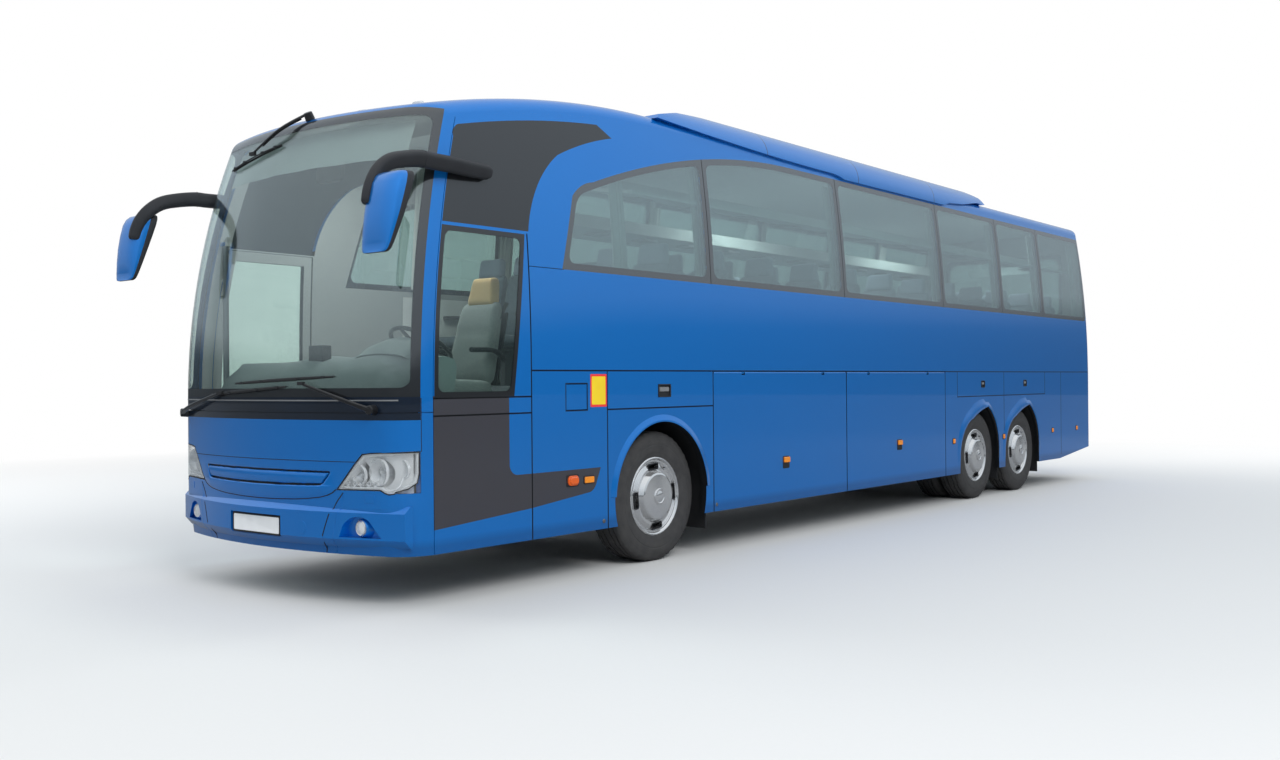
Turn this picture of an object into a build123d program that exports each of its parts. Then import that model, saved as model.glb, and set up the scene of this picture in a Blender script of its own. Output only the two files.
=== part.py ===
from build123d import *
from math import cos, radians, sin, sqrt
import os

# Three-axle touring coach, millimetres, +Z up, nose towards -Y, driver's side towards +X.
# The origin is on the ground below the middle of the whole coach, mirrors included.

os.makedirs("parts", exist_ok=True)

# Overall sizes
body_length = 13000
body_width = 2550
mirror_reach = 170
skirt_z = 335
roof_z = 3610

# Walls, panes and gaps
wall = 45
glass = 8
pane_joint = 8
pane_edge = 12
panel_gap = 6
seam_gap = 5
seat_gap = 0.3
recess_depth = 22
pin_gap = 0.05
plate = 30

# Lengths behind the nose
front_overhang = 2833
wheelbase = 6207
tag_spacing = 1335
corner_seam = 430
driver_bay_rear = 1335
roof_seam = 1530
bay_start_behind_axle = 687
bay_end_before_drive = 980
window_end_before_tail = 182

# Heights
mask_top_z = 1243
windscreen_low_z = 1343
waist_z = 1510
arch_line_z = 1221
sill_z = 2238
window_top_z = 3410
windscreen_top_z = 3238
platform_z = 930
deck_z = 1400
bay_floor_z = 410

# Wheels
tyre_radius = 516
tyre_width = 290
rim_radius = 286
front_tyre_face = 1205
rear_tyre_face = 1222
twin_spacing = 325
front_arch_radius = 590
kingpin_x = 935
hub_pin_radius = 60
kingpin_radius = 25

# Shape of the shell
tumble_z = 1703
tumble_radius = 12000
crown_drop = 50
roof_arc_radius = 9500
roof_arc_start = 2915
nose_plan_radius = 3950
rake_z = 1300
rake_radius = 5680
chin_z = 640
chin_back = 40
nose_corner_radius = 260
tail_corner_radius = 150
roof_edge_radius = 110
tail_lean = 120
tail_lean_z = 1500
tail_low_z = 455
departure_start = 11700
cantrail_drop = 160
cap_z = 4000

half_width = body_width / 2
nose_y = -(body_length + mirror_reach) / 2 + mirror_reach
tail_y = nose_y + body_length


def y_at(distance):
    """Y of a place given as its distance behind the nose."""
    return nose_y + distance


front_axle_y = y_at(front_overhang)
drive_axle_y = front_axle_y + wheelbase
tag_axle_y = drive_axle_y + tag_spacing
bay_start_y = front_axle_y + bay_start_behind_axle
bay_end_y = drive_axle_y - bay_end_before_drive
bay_middle_y = (bay_start_y + bay_end_y) / 2
window_end_y = tail_y - window_end_before_tail
roof_arc_y = y_at(roof_arc_start)
roof_arc_z = roof_z - roof_arc_radius
plan_axis_y = y_at(nose_plan_radius)
inner_x = half_width - wall


def side_x(z, inset=0):
    """Half width of the shell at a height, with the sides leaning in above the waist."""
    if z <= tumble_z:
        return half_width - inset
    return half_width - tumble_radius + sqrt((tumble_radius - inset) ** 2 - (z - tumble_z) ** 2)


def rake(z):
    """How far the windscreen has leant back at a height."""
    return rake_radius - sqrt(rake_radius**2 - (z - rake_z) ** 2)


def roof_line(y, drop):
    """Height of a line that runs a fixed drop below the roof's front curve."""
    if y >= roof_arc_y:
        return roof_z - drop
    return roof_arc_z + sqrt((roof_arc_radius - drop) ** 2 - (roof_arc_y - y) ** 2)


def size_of(edge):
    return edge.bounding_box().size


def envelope(inset):
    """The coach's closed outer form, or the same form set in by the inset."""
    top = roof_z - inset
    shoulder_z = top - crown_drop
    shoulder_x = side_x(shoulder_z, inset)
    low_x = half_width - inset
    mid_z = (tumble_z + shoulder_z) / 2
    mid_x = side_x(mid_z, inset)
    with BuildPart() as form:
        with BuildSketch(Plane.XZ.offset(-roof_arc_y)) as section:
            with BuildLine():
                Polyline((-low_x, tumble_z), (-low_x, 0), (low_x, 0), (low_x, tumble_z))
                ThreePointArc((low_x, tumble_z), (mid_x, mid_z), (shoulder_x, shoulder_z))
                ThreePointArc((shoulder_x, shoulder_z), (0, top), (-shoulder_x, shoulder_z))
                ThreePointArc((-shoulder_x, shoulder_z), (-mid_x, mid_z), (-low_x, tumble_z))
            make_face()
        extrude(amount=roof_arc_y - tail_y)
        front_axis = Axis((0, roof_arc_y, roof_arc_z), (1, 0, 0))
        revolve(section.sketch, axis=front_axis, revolution_arc=27)
    reach = nose_plan_radius - inset
    low_z = skirt_z - inset
    with BuildPart() as ends:
        nose_plane = Plane((0, plan_axis_y, 0), x_dir=(1, 0, 0), z_dir=(0, -1, 0))
        with BuildSketch(nose_plane):
            with BuildLine():
                Polyline((0, low_z), (reach - chin_back, low_z), (reach, chin_z), (reach, rake_z))
                ThreePointArc(
                    (reach, rake_z), (reach - rake(2500), 2500), (reach - rake(cap_z), cap_z)
                )
                Polyline((reach - rake(cap_z), cap_z), (0, cap_z), (0, low_z))
            make_face()
        revolve(axis=Axis((0, plan_axis_y, 0), (0, 0, 1)), revolution_arc=-180)
        with BuildSketch(Plane.YZ):
            with BuildLine():
                Polyline(
                    (plan_axis_y, low_z),
                    (plan_axis_y, cap_z),
                    (tail_y - inset - tail_lean, cap_z),
                    (tail_y - inset, tail_lean_z),
                    (tail_y - inset, tail_low_z - inset),
                    (y_at(departure_start), low_z),
                    close=True,
                )
            make_face()
        extrude(amount=body_width, both=True)
    with BuildPart() as shell:
        add(form.part)
        add(ends.part, mode=Mode.INTERSECT)
        upright = shell.edges().filter_by(lambda e: size_of(e).Z > 50 and abs(e.center().X) > 1100)
        nose_edges = upright.filter_by(
            lambda e: e.bounding_box().max.Y < nose_y + 600 and size_of(e).Y < 500
        )
        fillet(nose_edges, nose_corner_radius - inset)
        upright = shell.edges().filter_by(lambda e: size_of(e).Z > 100 and abs(e.center().X) > 1000)
        tail_edges = upright.filter_by(lambda e: e.bounding_box().min.Y > tail_y - 400)
        fillet(tail_edges, tail_corner_radius - inset)
        high = shell.edges().filter_by(lambda e: e.center().Z > windscreen_top_z - 50)
        roof_edges = high.filter_by(
            lambda e: abs(e.center().X) > 900 or e.center().Y < nose_y + 600 or e.center().Y > tail_y - 400
        )
        fillet(roof_edges, roof_edge_radius - inset)
    return shell.part


outer_form = envelope(0)
pane_form = envelope(glass)
inner_form = envelope(wall)

with BuildPart() as wall_skin:
    add(outer_form)
    add(inner_form, mode=Mode.SUBTRACT)

with BuildPart() as pane_skin:
    add(outer_form)
    add(pane_form, mode=Mode.SUBTRACT)

with BuildPart() as pillar_skin:
    add(pane_form)
    add(inner_form, mode=Mode.SUBTRACT)

recess_form = envelope(recess_depth)

with BuildPart() as recess_skin:
    add(outer_form)
    add(recess_form, mode=Mode.SUBTRACT)

side_cut_x = 900
side_cut_depth = 500


def side_plane(side):
    """Side-view plane inside one wall: side 1 is the driver's side, -1 the door side."""
    return Plane.YZ.offset(side * side_cut_x)


def seam_lean(distance, z):
    """Y of a line at a distance behind the nose that leans back as the windscreen does."""
    return y_at(distance) + rake(max(z, rake_z))


def leaning_edge(distance, low_z, high_z):
    """Side-view line from low to high that follows the windscreen's lean."""
    if low_z < rake_z:
        Line((y_at(distance), low_z), (y_at(distance), rake_z))
        low_z = rake_z
    mid_z = (low_z + high_z) / 2
    ThreePointArc(
        (seam_lean(distance, low_z), low_z),
        (seam_lean(distance, mid_z), mid_z),
        (seam_lean(distance, high_z), high_z),
    )


def behind_corner_seam():
    """Side view of everything behind the front corner seam, up to the top."""
    with BuildSketch(mode=Mode.PRIVATE) as outline:
        with BuildLine():
            leaning_edge(corner_seam, 0, cap_z)
            Polyline(
                (seam_lean(corner_seam, cap_z), cap_z),
                (tail_y - tail_corner_radius, cap_z),
                (tail_y - tail_corner_radius, 0),
                (y_at(corner_seam), 0),
            )
        make_face()
    return outline.sketch


def below_cantrail():
    """Side view of everything below the line where the roof panels start."""
    front_y = nose_y - 100
    mid_y = (front_y + roof_arc_y) / 2
    with BuildSketch(mode=Mode.PRIVATE) as outline:
        with BuildLine():
            ThreePointArc(
                (front_y, roof_line(front_y, cantrail_drop)),
                (mid_y, roof_line(mid_y, cantrail_drop)),
                (roof_arc_y, roof_line(roof_arc_y, cantrail_drop)),
            )
            Polyline(
                (roof_arc_y, roof_line(roof_arc_y, cantrail_drop)),
                (tail_y + 100, roof_line(roof_arc_y, cantrail_drop)),
                (tail_y + 100, 0),
                (front_y, 0),
                (front_y, roof_line(front_y, cantrail_drop)),
            )
        make_face()
    return outline.sketch


# Side windows: one band with an arched front end, split by narrow joints
window_front_low = 1680
window_arch_start = 2080
window_arch_level = 4950
window_arch_radius = 8600
window_corner_radius = 70
pillar_width = 110


def window_arch_z(distance):
    fall = window_arch_radius - sqrt(
        window_arch_radius**2 - (window_arch_level - distance) ** 2
    )
    return window_top_z - fall


def window_band():
    """Side view of the window band."""
    arch_z = window_arch_z(window_arch_start)
    arch_mid = (window_arch_start + window_arch_level) / 2
    with BuildSketch(mode=Mode.PRIVATE) as outline:
        with BuildLine():
            Polyline((y_at(window_arch_start - 80), sill_z), (y_at(window_front_low), sill_z),
                     (y_at(window_front_low + 158), sill_z + 548))
            ThreePointArc(
                (y_at(window_front_low + 158), sill_z + 548),
                (y_at(window_arch_start - 159), arch_z - 58),
                (y_at(window_arch_start), arch_z),
            )
            ThreePointArc(
                (y_at(window_arch_start), arch_z),
                (y_at(arch_mid), window_arch_z(arch_mid)),
                (y_at(window_arch_level), window_top_z),
            )
            Polyline(
                (y_at(window_arch_level), window_top_z),
                (window_end_y, window_top_z),
                (window_end_y, sill_z),
                (y_at(window_arch_start - 80), sill_z),
            )
        make_face()
        ends = outline.vertices().group_by(Axis.X)[-1]
        fillet(ends, window_corner_radius)
    return outline.sketch


window_joints = [bay_start_y, bay_middle_y, bay_end_y, drive_axle_y + 725, tag_axle_y + 775]

# Cab side glass: the driver's window and the dark pane above it
cab_window_low_z = 1335
cab_window_top_z = 2458
cab_window_rear = (1165, 1312)
upper_pane_drop = 210
upper_pane_tip = (2352, 3290)


def cab_window():
    with BuildSketch(mode=Mode.PRIVATE) as outline:
        with BuildLine():
            leaning_edge(corner_seam + pane_edge, cab_window_low_z, cab_window_top_z)
            Polyline(
                (seam_lean(corner_seam + pane_edge, cab_window_top_z), cab_window_top_z),
                (y_at(cab_window_rear[1]), cab_window_top_z),
                (y_at(cab_window_rear[0]), cab_window_low_z),
                (seam_lean(corner_seam + pane_edge, cab_window_low_z), cab_window_low_z),
            )
        make_face()
    return outline.sketch


def upper_pane():
    low_z = cab_window_top_z + 22
    top_d = 800
    top_z = roof_line(y_at(top_d), upper_pane_drop)
    rear_d = 2190
    mid_d = (top_d + rear_d) / 2
    with BuildSketch(mode=Mode.PRIVATE) as outline:
        with BuildLine():
            leaning_edge(corner_seam + pane_edge, low_z, 3060)
            ThreePointArc(
                (seam_lean(corner_seam + pane_edge, 3060), 3060),
                (y_at(738), 3122),
                (y_at(top_d), top_z),
            )
            ThreePointArc(
                (y_at(top_d), top_z),
                (y_at(mid_d), roof_line(y_at(mid_d), upper_pane_drop)),
                (y_at(rear_d), roof_line(y_at(rear_d), upper_pane_drop)),
            )
            Line(
                (y_at(rear_d), roof_line(y_at(rear_d), upper_pane_drop)),
                (y_at(upper_pane_tip[0]), upper_pane_tip[1]),
            )
            ThreePointArc(
                (y_at(upper_pane_tip[0]), upper_pane_tip[1]),
                (y_at(2030), 3200),
                (y_at(1717), 3072),
            )
            ThreePointArc((y_at(1717), 3072), (y_at(1490), 2840), (y_at(1352), low_z))
            Line((y_at(1352), low_z), (seam_lean(corner_seam + pane_edge, low_z), low_z))
        make_face()
    return outline.sketch


# Wheel arches
def front_arch():
    with BuildSketch(mode=Mode.PRIVATE) as outline:
        with Locations((front_axle_y - 10, 520)):
            Circle(front_arch_radius)
    return outline.sketch


def rear_arch(axle_y):
    """Swept arch of a rear wheel, highest behind the axle."""
    with BuildSketch(mode=Mode.PRIVATE) as outline:
        with BuildLine():
            Polyline(
                (axle_y + 555, 500), (axle_y + 555, 200), (axle_y - 590, 200), (axle_y - 585, 500)
            )
            ThreePointArc((axle_y - 585, 500), (axle_y - 470, 830), (axle_y - 240, 960))
            ThreePointArc((axle_y - 240, 960), (axle_y + 40, 1058), (axle_y + 214, 1092))
            ThreePointArc((axle_y + 214, 1092), (axle_y + 460, 870), (axle_y + 555, 500))
        make_face()
    return outline.sketch


# Openings with moving panels: side, start and end in Y, low and high in Z
hinge_pin_radius = 8
hinge_knuckle_radius = 14
hinge_z = waist_z - hinge_knuckle_radius - 2
hinge_x = half_width - hinge_knuckle_radius
front_door_top_z = 2470
mid_door_top_z = sill_z - 20
mid_door_start_y = bay_end_y - 910
flap_rows = [
    # name, side, start, end
    ("flap_left_front", 1, bay_start_y, bay_middle_y),
    ("flap_left_rear", 1, bay_middle_y, bay_end_y),
    ("flap_right_front", -1, bay_start_y, bay_middle_y),
    ("flap_right_rear", -1, bay_middle_y, mid_door_start_y - 20),
]
door_rows = [
    # name, distance of the leaning front edge, doorway end, top, column at the front end
    ("front_door", corner_seam, y_at(driver_bay_rear), front_door_top_z, True),
    ("mid_door", mid_door_start_y - nose_y, bay_end_y, mid_door_top_z, False),
]


def doorway(distance, end, top_z, margin):
    """Side view of a doorway; only the front one has an edge that leans back."""
    with BuildSketch(mode=Mode.PRIVATE) as outline:
        with BuildLine():
            if distance == corner_seam:
                leaning_edge(distance, skirt_z, top_z)
                front_top = (seam_lean(distance, top_z), top_z)
            else:
                Line((y_at(distance), skirt_z), (y_at(distance), top_z))
                front_top = (y_at(distance), top_z)
            Polyline(front_top, (end, top_z), (end, skirt_z), (y_at(distance), skirt_z))
        make_face()
        if margin:
            offset(amount=-margin, mode=Mode.REPLACE)
    return outline.sketch


fuel_flap_box = (y_at(1690), y_at(1922), 1222, 1416)
fuel_flap_plate = 30
fuel_pin_radius = 5
fuel_knuckle_radius = 10
fuel_pin_x = half_width - fuel_knuckle_radius
fuel_pin_y = fuel_flap_box[0] + fuel_knuckle_radius + 2
arm_length = 560
column_x = inner_x - 85
column_radius = 22
column_inset = 70
bracket_half = 28
pivot_radius = 12
arm_levels = (480, 1290)
latch_depth = 14
lip_width = 55
lip_reach = 14
lip_low_z = 560

lid_half_width = 880
lid_low_z = 640
lid_top_z = 1740
rear_window_half = 900
rear_window_low_z = 2270
rear_window_top_z = 3230
tail_lamp_x = (1010, 1180)
tail_lamp_z = (930, 1560)


def box_between(x, y, z, mode=Mode.ADD):
    """A box given by its low and high limits along each axis."""
    with Locations(((x[0] + x[1]) / 2, (y[0] + y[1]) / 2, (z[0] + z[1]) / 2)):
        Box(abs(x[1] - x[0]), abs(y[1] - y[0]), abs(z[1] - z[0]), mode=mode)


def side_box(side, x, y, z, mode=Mode.ADD):
    """The same box mirrored to either side."""
    box_between((side * x[0], side * x[1]), y, z, mode)


def save(name, part):
    part.label = name
    export_step(part, "parts/" + name + ".step")


# Grooves where the wall's panels meet
upright_seams = [
    # distance behind the nose, low, high
    (driver_bay_rear, skirt_z, cab_window_top_z),
    (2150, skirt_z, waist_z),
    (8385, arch_line_z, waist_z),
    (9760, 560, waist_z),
    (11152, arch_line_z, waist_z),
    (11755, 400, waist_z),
]
level_seams = [
    # start and end behind the nose, height
    (corner_seam, driver_bay_rear, arch_line_z - 4),
    (corner_seam, driver_bay_rear, cab_window_low_z - 5),
    (driver_bay_rear, 3520, waist_z),
    (driver_bay_rear, window_front_low + 20, sill_z),
    (2150, 3520, arch_line_z),
    (8060, 12850, waist_z),
    (8385, 11152, arch_line_z),
]
latch_rows = [
    # start and end behind the nose, low, high
    (2768, 2938, 1303, 1406),
    (9063, 9173, 1322, 1404),
    (10401, 10511, 1326, 1408),
]


def seam_lines():
    """Side view of the grooves, with the one along the leaning front corner."""
    with BuildSketch(mode=Mode.PRIVATE) as lines:
        for distance, low_z, high_z in upright_seams:
            with Locations((y_at(distance), (low_z + high_z) / 2)):
                Rectangle(seam_gap, high_z - low_z)
        for start, end, z in level_seams:
            with Locations((y_at((start + end) / 2), z)):
                Rectangle(end - start, seam_gap)
        with BuildLine():
            leaning_edge(corner_seam, skirt_z, cap_z)
            leaning_edge(corner_seam + seam_gap, skirt_z, cap_z)
            Line((y_at(corner_seam), skirt_z), (y_at(corner_seam + seam_gap), skirt_z))
            Line((seam_lean(corner_seam, cap_z), cap_z),
                 (seam_lean(corner_seam + seam_gap, cap_z), cap_z))
        make_face()
    return lines.sketch


def column_bracket(column_y, door_top_z):
    """A plate on the wall above a doorway that holds the top of the door's column."""
    low_z = door_top_z + 15
    box_between((-side_x(low_z) + 20, -column_x + 40), (column_y - bracket_half, column_y + bracket_half),
                (low_z, low_z + plate))
    with Locations((-column_x, column_y, low_z)):
        Cylinder(column_radius + pin_gap, 4 * plate, mode=Mode.SUBTRACT)


# Side walls with windows, arches, flap openings and doorways
for side, wall_name in ((1, "side_wall_left"), (-1, "side_wall_right")):
    with BuildPart() as side_wall:
        add(wall_skin.part)
        with BuildSketch(side_plane(side)):
            add(behind_corner_seam())
            add(below_cantrail(), mode=Mode.INTERSECT)
        extrude(amount=side * side_cut_depth, mode=Mode.INTERSECT)
        with BuildSketch(side_plane(side)):
            add(window_band())
            add(front_arch())
            add(rear_arch(drive_axle_y))
            add(rear_arch(tag_axle_y))
            add(upper_pane())
            if side == 1:
                add(cab_window())
        extrude(amount=side * side_cut_depth, mode=Mode.SUBTRACT)
        for _, flap_side, start, end in flap_rows:
            if flap_side == side:
                side_box(side, (1100, 1400), (start, end), (0, waist_z), Mode.SUBTRACT)
        if side == -1:
            with BuildSketch(side_plane(side)):
                for _, distance, end, top_z, _ in door_rows:
                    add(doorway(distance, end, top_z, 0))
                    with Locations((end - 300, skirt_z)):
                        Rectangle(600, 20)
            extrude(amount=side * side_cut_depth, mode=Mode.SUBTRACT)
        else:
            side_box(side, (half_width - fuel_flap_plate, 1400), fuel_flap_box[:2],
                     fuel_flap_box[2:], Mode.SUBTRACT)
    with BuildPart() as pillars:
        add(pillar_skin.part)
        with BuildSketch(side_plane(side)):
            for joint_y in window_joints:
                with Locations((joint_y, (sill_z + window_top_z) / 2)):
                    Rectangle(pillar_width, window_top_z - sill_z + 60)
            add(window_band(), mode=Mode.INTERSECT)
        extrude(amount=side * side_cut_depth, mode=Mode.INTERSECT)
    with BuildPart() as grooves:
        add(recess_skin.part)
        with BuildSketch(side_plane(side)):
            add(seam_lines())
        extrude(amount=side * side_cut_depth, mode=Mode.INTERSECT)
    with BuildPart() as finished_wall:
        add(side_wall.part)
        add(grooves.part, mode=Mode.SUBTRACT)
        add(pillars.part)
        for start, end, low_z, high_z in latch_rows:
            side_box(side, (half_width - latch_depth, 1400), (y_at(start), y_at(end)), (low_z, high_z),
                     Mode.SUBTRACT)
        with Locations(Plane((side * half_width, front_axle_y - 10, 520), z_dir=(side, 0, 0))):
            Cone(front_arch_radius + lip_width, front_arch_radius + 12, lip_reach,
                 align=(Align.CENTER, Align.CENTER, Align.MIN))
            Cylinder(front_arch_radius, 2 * lip_reach + 200, mode=Mode.SUBTRACT)
        side_box(side, (half_width, 1400), (front_axle_y - 900, front_axle_y + 900), (-400, lip_low_z),
                 Mode.SUBTRACT)
        for _, flap_side, start, end in flap_rows:
            if flap_side != side:
                continue
            middle = (start + end) / 2
            with Locations(Plane((side * hinge_x, middle, hinge_z), z_dir=(0, 1, 0))):
                Cylinder(hinge_pin_radius, end - start)
            for part_of_length in (0.2, 0.8):
                web_y = start + part_of_length * (end - start)
                web_x = (hinge_x - hinge_pin_radius, hinge_x + hinge_pin_radius)
                side_box(side, web_x, (web_y - 20, web_y + 20), (hinge_z, waist_z + 5))
        if side == 1:
            flap_low, flap_high = fuel_flap_box[2:]
            with Locations((fuel_pin_x, fuel_pin_y, (flap_low + flap_high) / 2)):
                Cylinder(fuel_pin_radius, flap_high - flap_low)
        else:
            column_bracket(bay_end_y - column_inset, mid_door_top_z)
    save(wall_name, finished_wall.part)

# Panes of both side bands and the rear window
with BuildPart() as saloon_glass:
    for side in (1, -1):
        with BuildPart(mode=Mode.PRIVATE) as band:
            add(pane_skin.part)
            with BuildSketch(side_plane(side)):
                add(window_band())
                for joint_y in window_joints:
                    with Locations((joint_y, (sill_z + window_top_z) / 2)):
                        Rectangle(pane_joint, window_top_z, mode=Mode.SUBTRACT)
            extrude(amount=side * side_cut_depth, mode=Mode.INTERSECT)
        add(band.part)
    with BuildPart(mode=Mode.PRIVATE) as rear_pane:
        add(pane_skin.part)
        with BuildSketch(Plane.XZ.offset(-(tail_y - 600))):
            with Locations((0, (rear_window_low_z + rear_window_top_z) / 2)):
                RectangleRounded(
                    2 * rear_window_half, rear_window_top_z - rear_window_low_z, 90
                )
        extrude(amount=-900, mode=Mode.INTERSECT)
    add(rear_pane.part)
save("saloon_glass", saloon_glass.part)

with BuildPart() as cab_glass:
    for side in (1, -1):
        with BuildPart(mode=Mode.PRIVATE) as panes:
            add(pane_skin.part)
            with BuildSketch(side_plane(side)):
                add(upper_pane())
                if side == 1:
                    add(cab_window())
            extrude(amount=side * side_cut_depth, mode=Mode.INTERSECT)
        add(panes.part)
save("cab_glass", cab_glass.part)

# Roof behind the seam, and the front cap with the windscreen's posts
with BuildPart() as roof:
    add(wall_skin.part)
    box_between((-2000, 2000), (y_at(roof_seam), tail_y - tail_corner_radius), (3000, cap_z),
                Mode.INTERSECT)
    with BuildSketch(Plane.YZ):
        add(below_cantrail())
    extrude(amount=2000, both=True, mode=Mode.SUBTRACT)
save("roof", roof.part)


def windscreen_outline():
    """Side view of the windscreen, a band of the nose ahead of the posts."""
    edge = corner_seam - 95
    with BuildSketch(mode=Mode.PRIVATE) as outline:
        with BuildLine():
            leaning_edge(edge, windscreen_low_z, windscreen_top_z)
            Polyline(
                (seam_lean(edge, windscreen_top_z), windscreen_top_z),
                (nose_y - 200, windscreen_top_z),
                (nose_y - 200, windscreen_low_z),
                (seam_lean(edge, windscreen_low_z), windscreen_low_z),
            )
        make_face()
    return outline.sketch


with BuildPart() as front_cap:
    add(wall_skin.part)
    box_between((-2000, 2000), (nose_y - 100, y_at(roof_seam)), (windscreen_low_z, cap_z), Mode.INTERSECT)
    with BuildSketch(Plane.YZ):
        add(behind_corner_seam())
        add(below_cantrail(), mode=Mode.INTERSECT)
    extrude(amount=2000, both=True, mode=Mode.SUBTRACT)
    with BuildSketch(Plane.YZ):
        add(windscreen_outline())
    extrude(amount=2000, both=True, mode=Mode.SUBTRACT)
    column_bracket(y_at(corner_seam) + column_inset, front_door_top_z)
save("front_cap", front_cap.part)

with BuildPart() as windscreen:
    add(pane_skin.part)
    with BuildSketch(Plane.YZ):
        add(windscreen_outline())
    extrude(amount=2000, both=True, mode=Mode.INTERSECT)
save("windscreen", windscreen.part)

# Front mask with the lamp and grille openings, and the bumper below it
mask_low_z = 735
tongue_half = 720
grille_half = 700
grille_low_half = 600
grille_top_z = 965
grille_low_z = 680
mask_tongue_z = 655


def grille_outline(margin):
    with BuildSketch(mode=Mode.PRIVATE) as outline:
        with BuildLine():
            Polyline(
                (-grille_half, grille_top_z), (grille_half, grille_top_z),
                (grille_half, grille_top_z - 110), (grille_low_half, grille_low_z + 30),
            )
            ThreePointArc((grille_low_half, grille_low_z + 30), (0, grille_low_z),
                          (-grille_low_half, grille_low_z + 30))
            Polyline(
                (-grille_low_half, grille_low_z + 30), (-grille_half, grille_top_z - 110),
                (-grille_half, grille_top_z),
            )
        make_face()
        if margin:
            offset(amount=-margin, mode=Mode.REPLACE)
    return outline.sketch


def lamp_outline(side, margin=0):
    """Front view of a headlamp; its outer end is cut to length in side view."""
    with BuildSketch(mode=Mode.PRIVATE) as outline:
        with BuildLine():
            Polyline(
                (side * 748, 748), (side * 955, 985), (side * 1400, 1008), (side * 1400, 735),
                (side * 1130, 735), (side * 1090, 752), close=True,
            )
        make_face()
        if margin:
            offset(amount=-margin, mode=Mode.REPLACE)
    return outline.sketch


lamp_end = 334

with BuildPart() as mask_groove:
    add(recess_skin.part)
    box_between((-2000, 2000), (nose_y - 100, y_at(corner_seam)),
                (mask_top_z - seam_gap / 2, mask_top_z + seam_gap / 2), Mode.INTERSECT)

with BuildPart() as front_mask:
    add(wall_skin.part)
    box_between((-2000, 2000), (nose_y - 100, y_at(corner_seam)), (mask_tongue_z, windscreen_low_z),
                Mode.INTERSECT)
    with BuildSketch(Plane.XZ.offset(-y_at(1000))):
        with Locations((0, (mask_tongue_z + mask_low_z) / 2)):
            Rectangle(3000, mask_low_z - mask_tongue_z)
            Rectangle(2 * tongue_half, mask_low_z - mask_tongue_z, mode=Mode.SUBTRACT)
        add(grille_outline(0))
    extrude(amount=2000, mode=Mode.SUBTRACT)
    for side in (1, -1):
        with BuildPart(mode=Mode.PRIVATE) as lamp_hole:
            with BuildSketch(Plane.XZ.offset(-y_at(1000))):
                add(lamp_outline(side))
            extrude(amount=1200)
            box_between((-2000, 2000), (nose_y - 200, y_at(lamp_end)), (0, 2000), Mode.INTERSECT)
        add(lamp_hole.part, mode=Mode.SUBTRACT)
    add(mask_groove.part, mode=Mode.SUBTRACT)
save("front_mask", front_mask.part)

with BuildPart() as headlamps:
    for side in (1, -1):
        with BuildPart(mode=Mode.PRIVATE) as lamp:
            add(pane_skin.part)
            with BuildSketch(Plane.XZ.offset(-y_at(1000))):
                add(lamp_outline(side))
            extrude(amount=1200, mode=Mode.INTERSECT)
            box_between((-2000, 2000), (nose_y - 200, y_at(lamp_end)), (0, 2000), Mode.INTERSECT)
        add(lamp.part)
save("headlamps", headlamps.part)

# Grille panel with a sunk slot round its bar
slot_top_z = 928
slot_low_z = 812
with BuildPart() as grille_slot:
    add(recess_skin.part)
    with BuildSketch(Plane.XZ.offset(-y_at(1000))):
        add(grille_outline(0))
        add(grille_outline(seam_gap), mode=Mode.SUBTRACT)
        with BuildLine():
            Polyline((-648, slot_top_z), (648, slot_top_z), (560, slot_low_z), (-560, slot_low_z),
                     close=True)
        make_face()
        with BuildLine():
            Polyline((-615, slot_top_z - 16), (615, slot_top_z - 16), (548, slot_low_z + 18),
                     (-548, slot_low_z + 18), close=True)
        make_face(mode=Mode.SUBTRACT)
    extrude(amount=2000, mode=Mode.INTERSECT)

with BuildPart() as grille:
    add(wall_skin.part)
    with BuildSketch(Plane.XZ.offset(-y_at(1000))):
        add(grille_outline(seat_gap))
    extrude(amount=2000, mode=Mode.INTERSECT)
    add(grille_slot.part, mode=Mode.SUBTRACT)
save("grille", grille.part)

# Bumper: its middle stands proud as a ledge that fades out towards the corners
tow_x = 480
tow_z = 500
tow_boss_radius = 48
tow_mouth_radius = 34
tow_bore_radius = 21
ledge_reach = 35
ledge_radius = 3270
ledge_slope = 45
plate_half = 285
plate_box_z = (422, 566)
fog_x = 933
fog_z = 512
fog_radius = 50
fog_front = 125
fog_length = 90

with BuildPart() as ledge:
    ledge_axis_y = nose_y - ledge_reach + ledge_radius
    with BuildSketch(Plane((0, ledge_axis_y, 0), x_dir=(1, 0, 0), z_dir=(0, -1, 0))):
        with BuildLine():
            Polyline(
                (ledge_radius - 400, 385), (ledge_radius - ledge_slope, 385), (ledge_radius, 440),
                (ledge_radius, mask_tongue_z - ledge_slope), (ledge_radius - ledge_slope, mask_tongue_z),
                (ledge_radius - 400, mask_tongue_z), close=True,
            )
        make_face()
    revolve(axis=Axis((0, ledge_axis_y, 0), (0, 0, 1)), revolution_arc=-180)
    box_between((-1250, 1250), (nose_y - 100, nose_y + 280), (0, 1000), Mode.INTERSECT)
    add(outer_form, mode=Mode.SUBTRACT)

with BuildPart() as bumper_cuts:
    with BuildSketch(Plane.XZ.offset(-y_at(300))):
        for side in (1, -1):
            with BuildLine():
                Polyline((side * 1095, 452), (side * 790, 452), (side * 815, 520))
                ThreePointArc((side * 815, 520), (side * 920, 585), (side * 1010, 560))
                Line((side * 1010, 560), (side * 1095, 452))
            make_face()
            with BuildLine():
                Polyline((side * 701, 300), (side * 706, 300), (side * 815, 745), (side * 810, 745),
                         close=True)
            make_face()
    extrude(amount=500)
    add(recess_form, mode=Mode.SUBTRACT)

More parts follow.
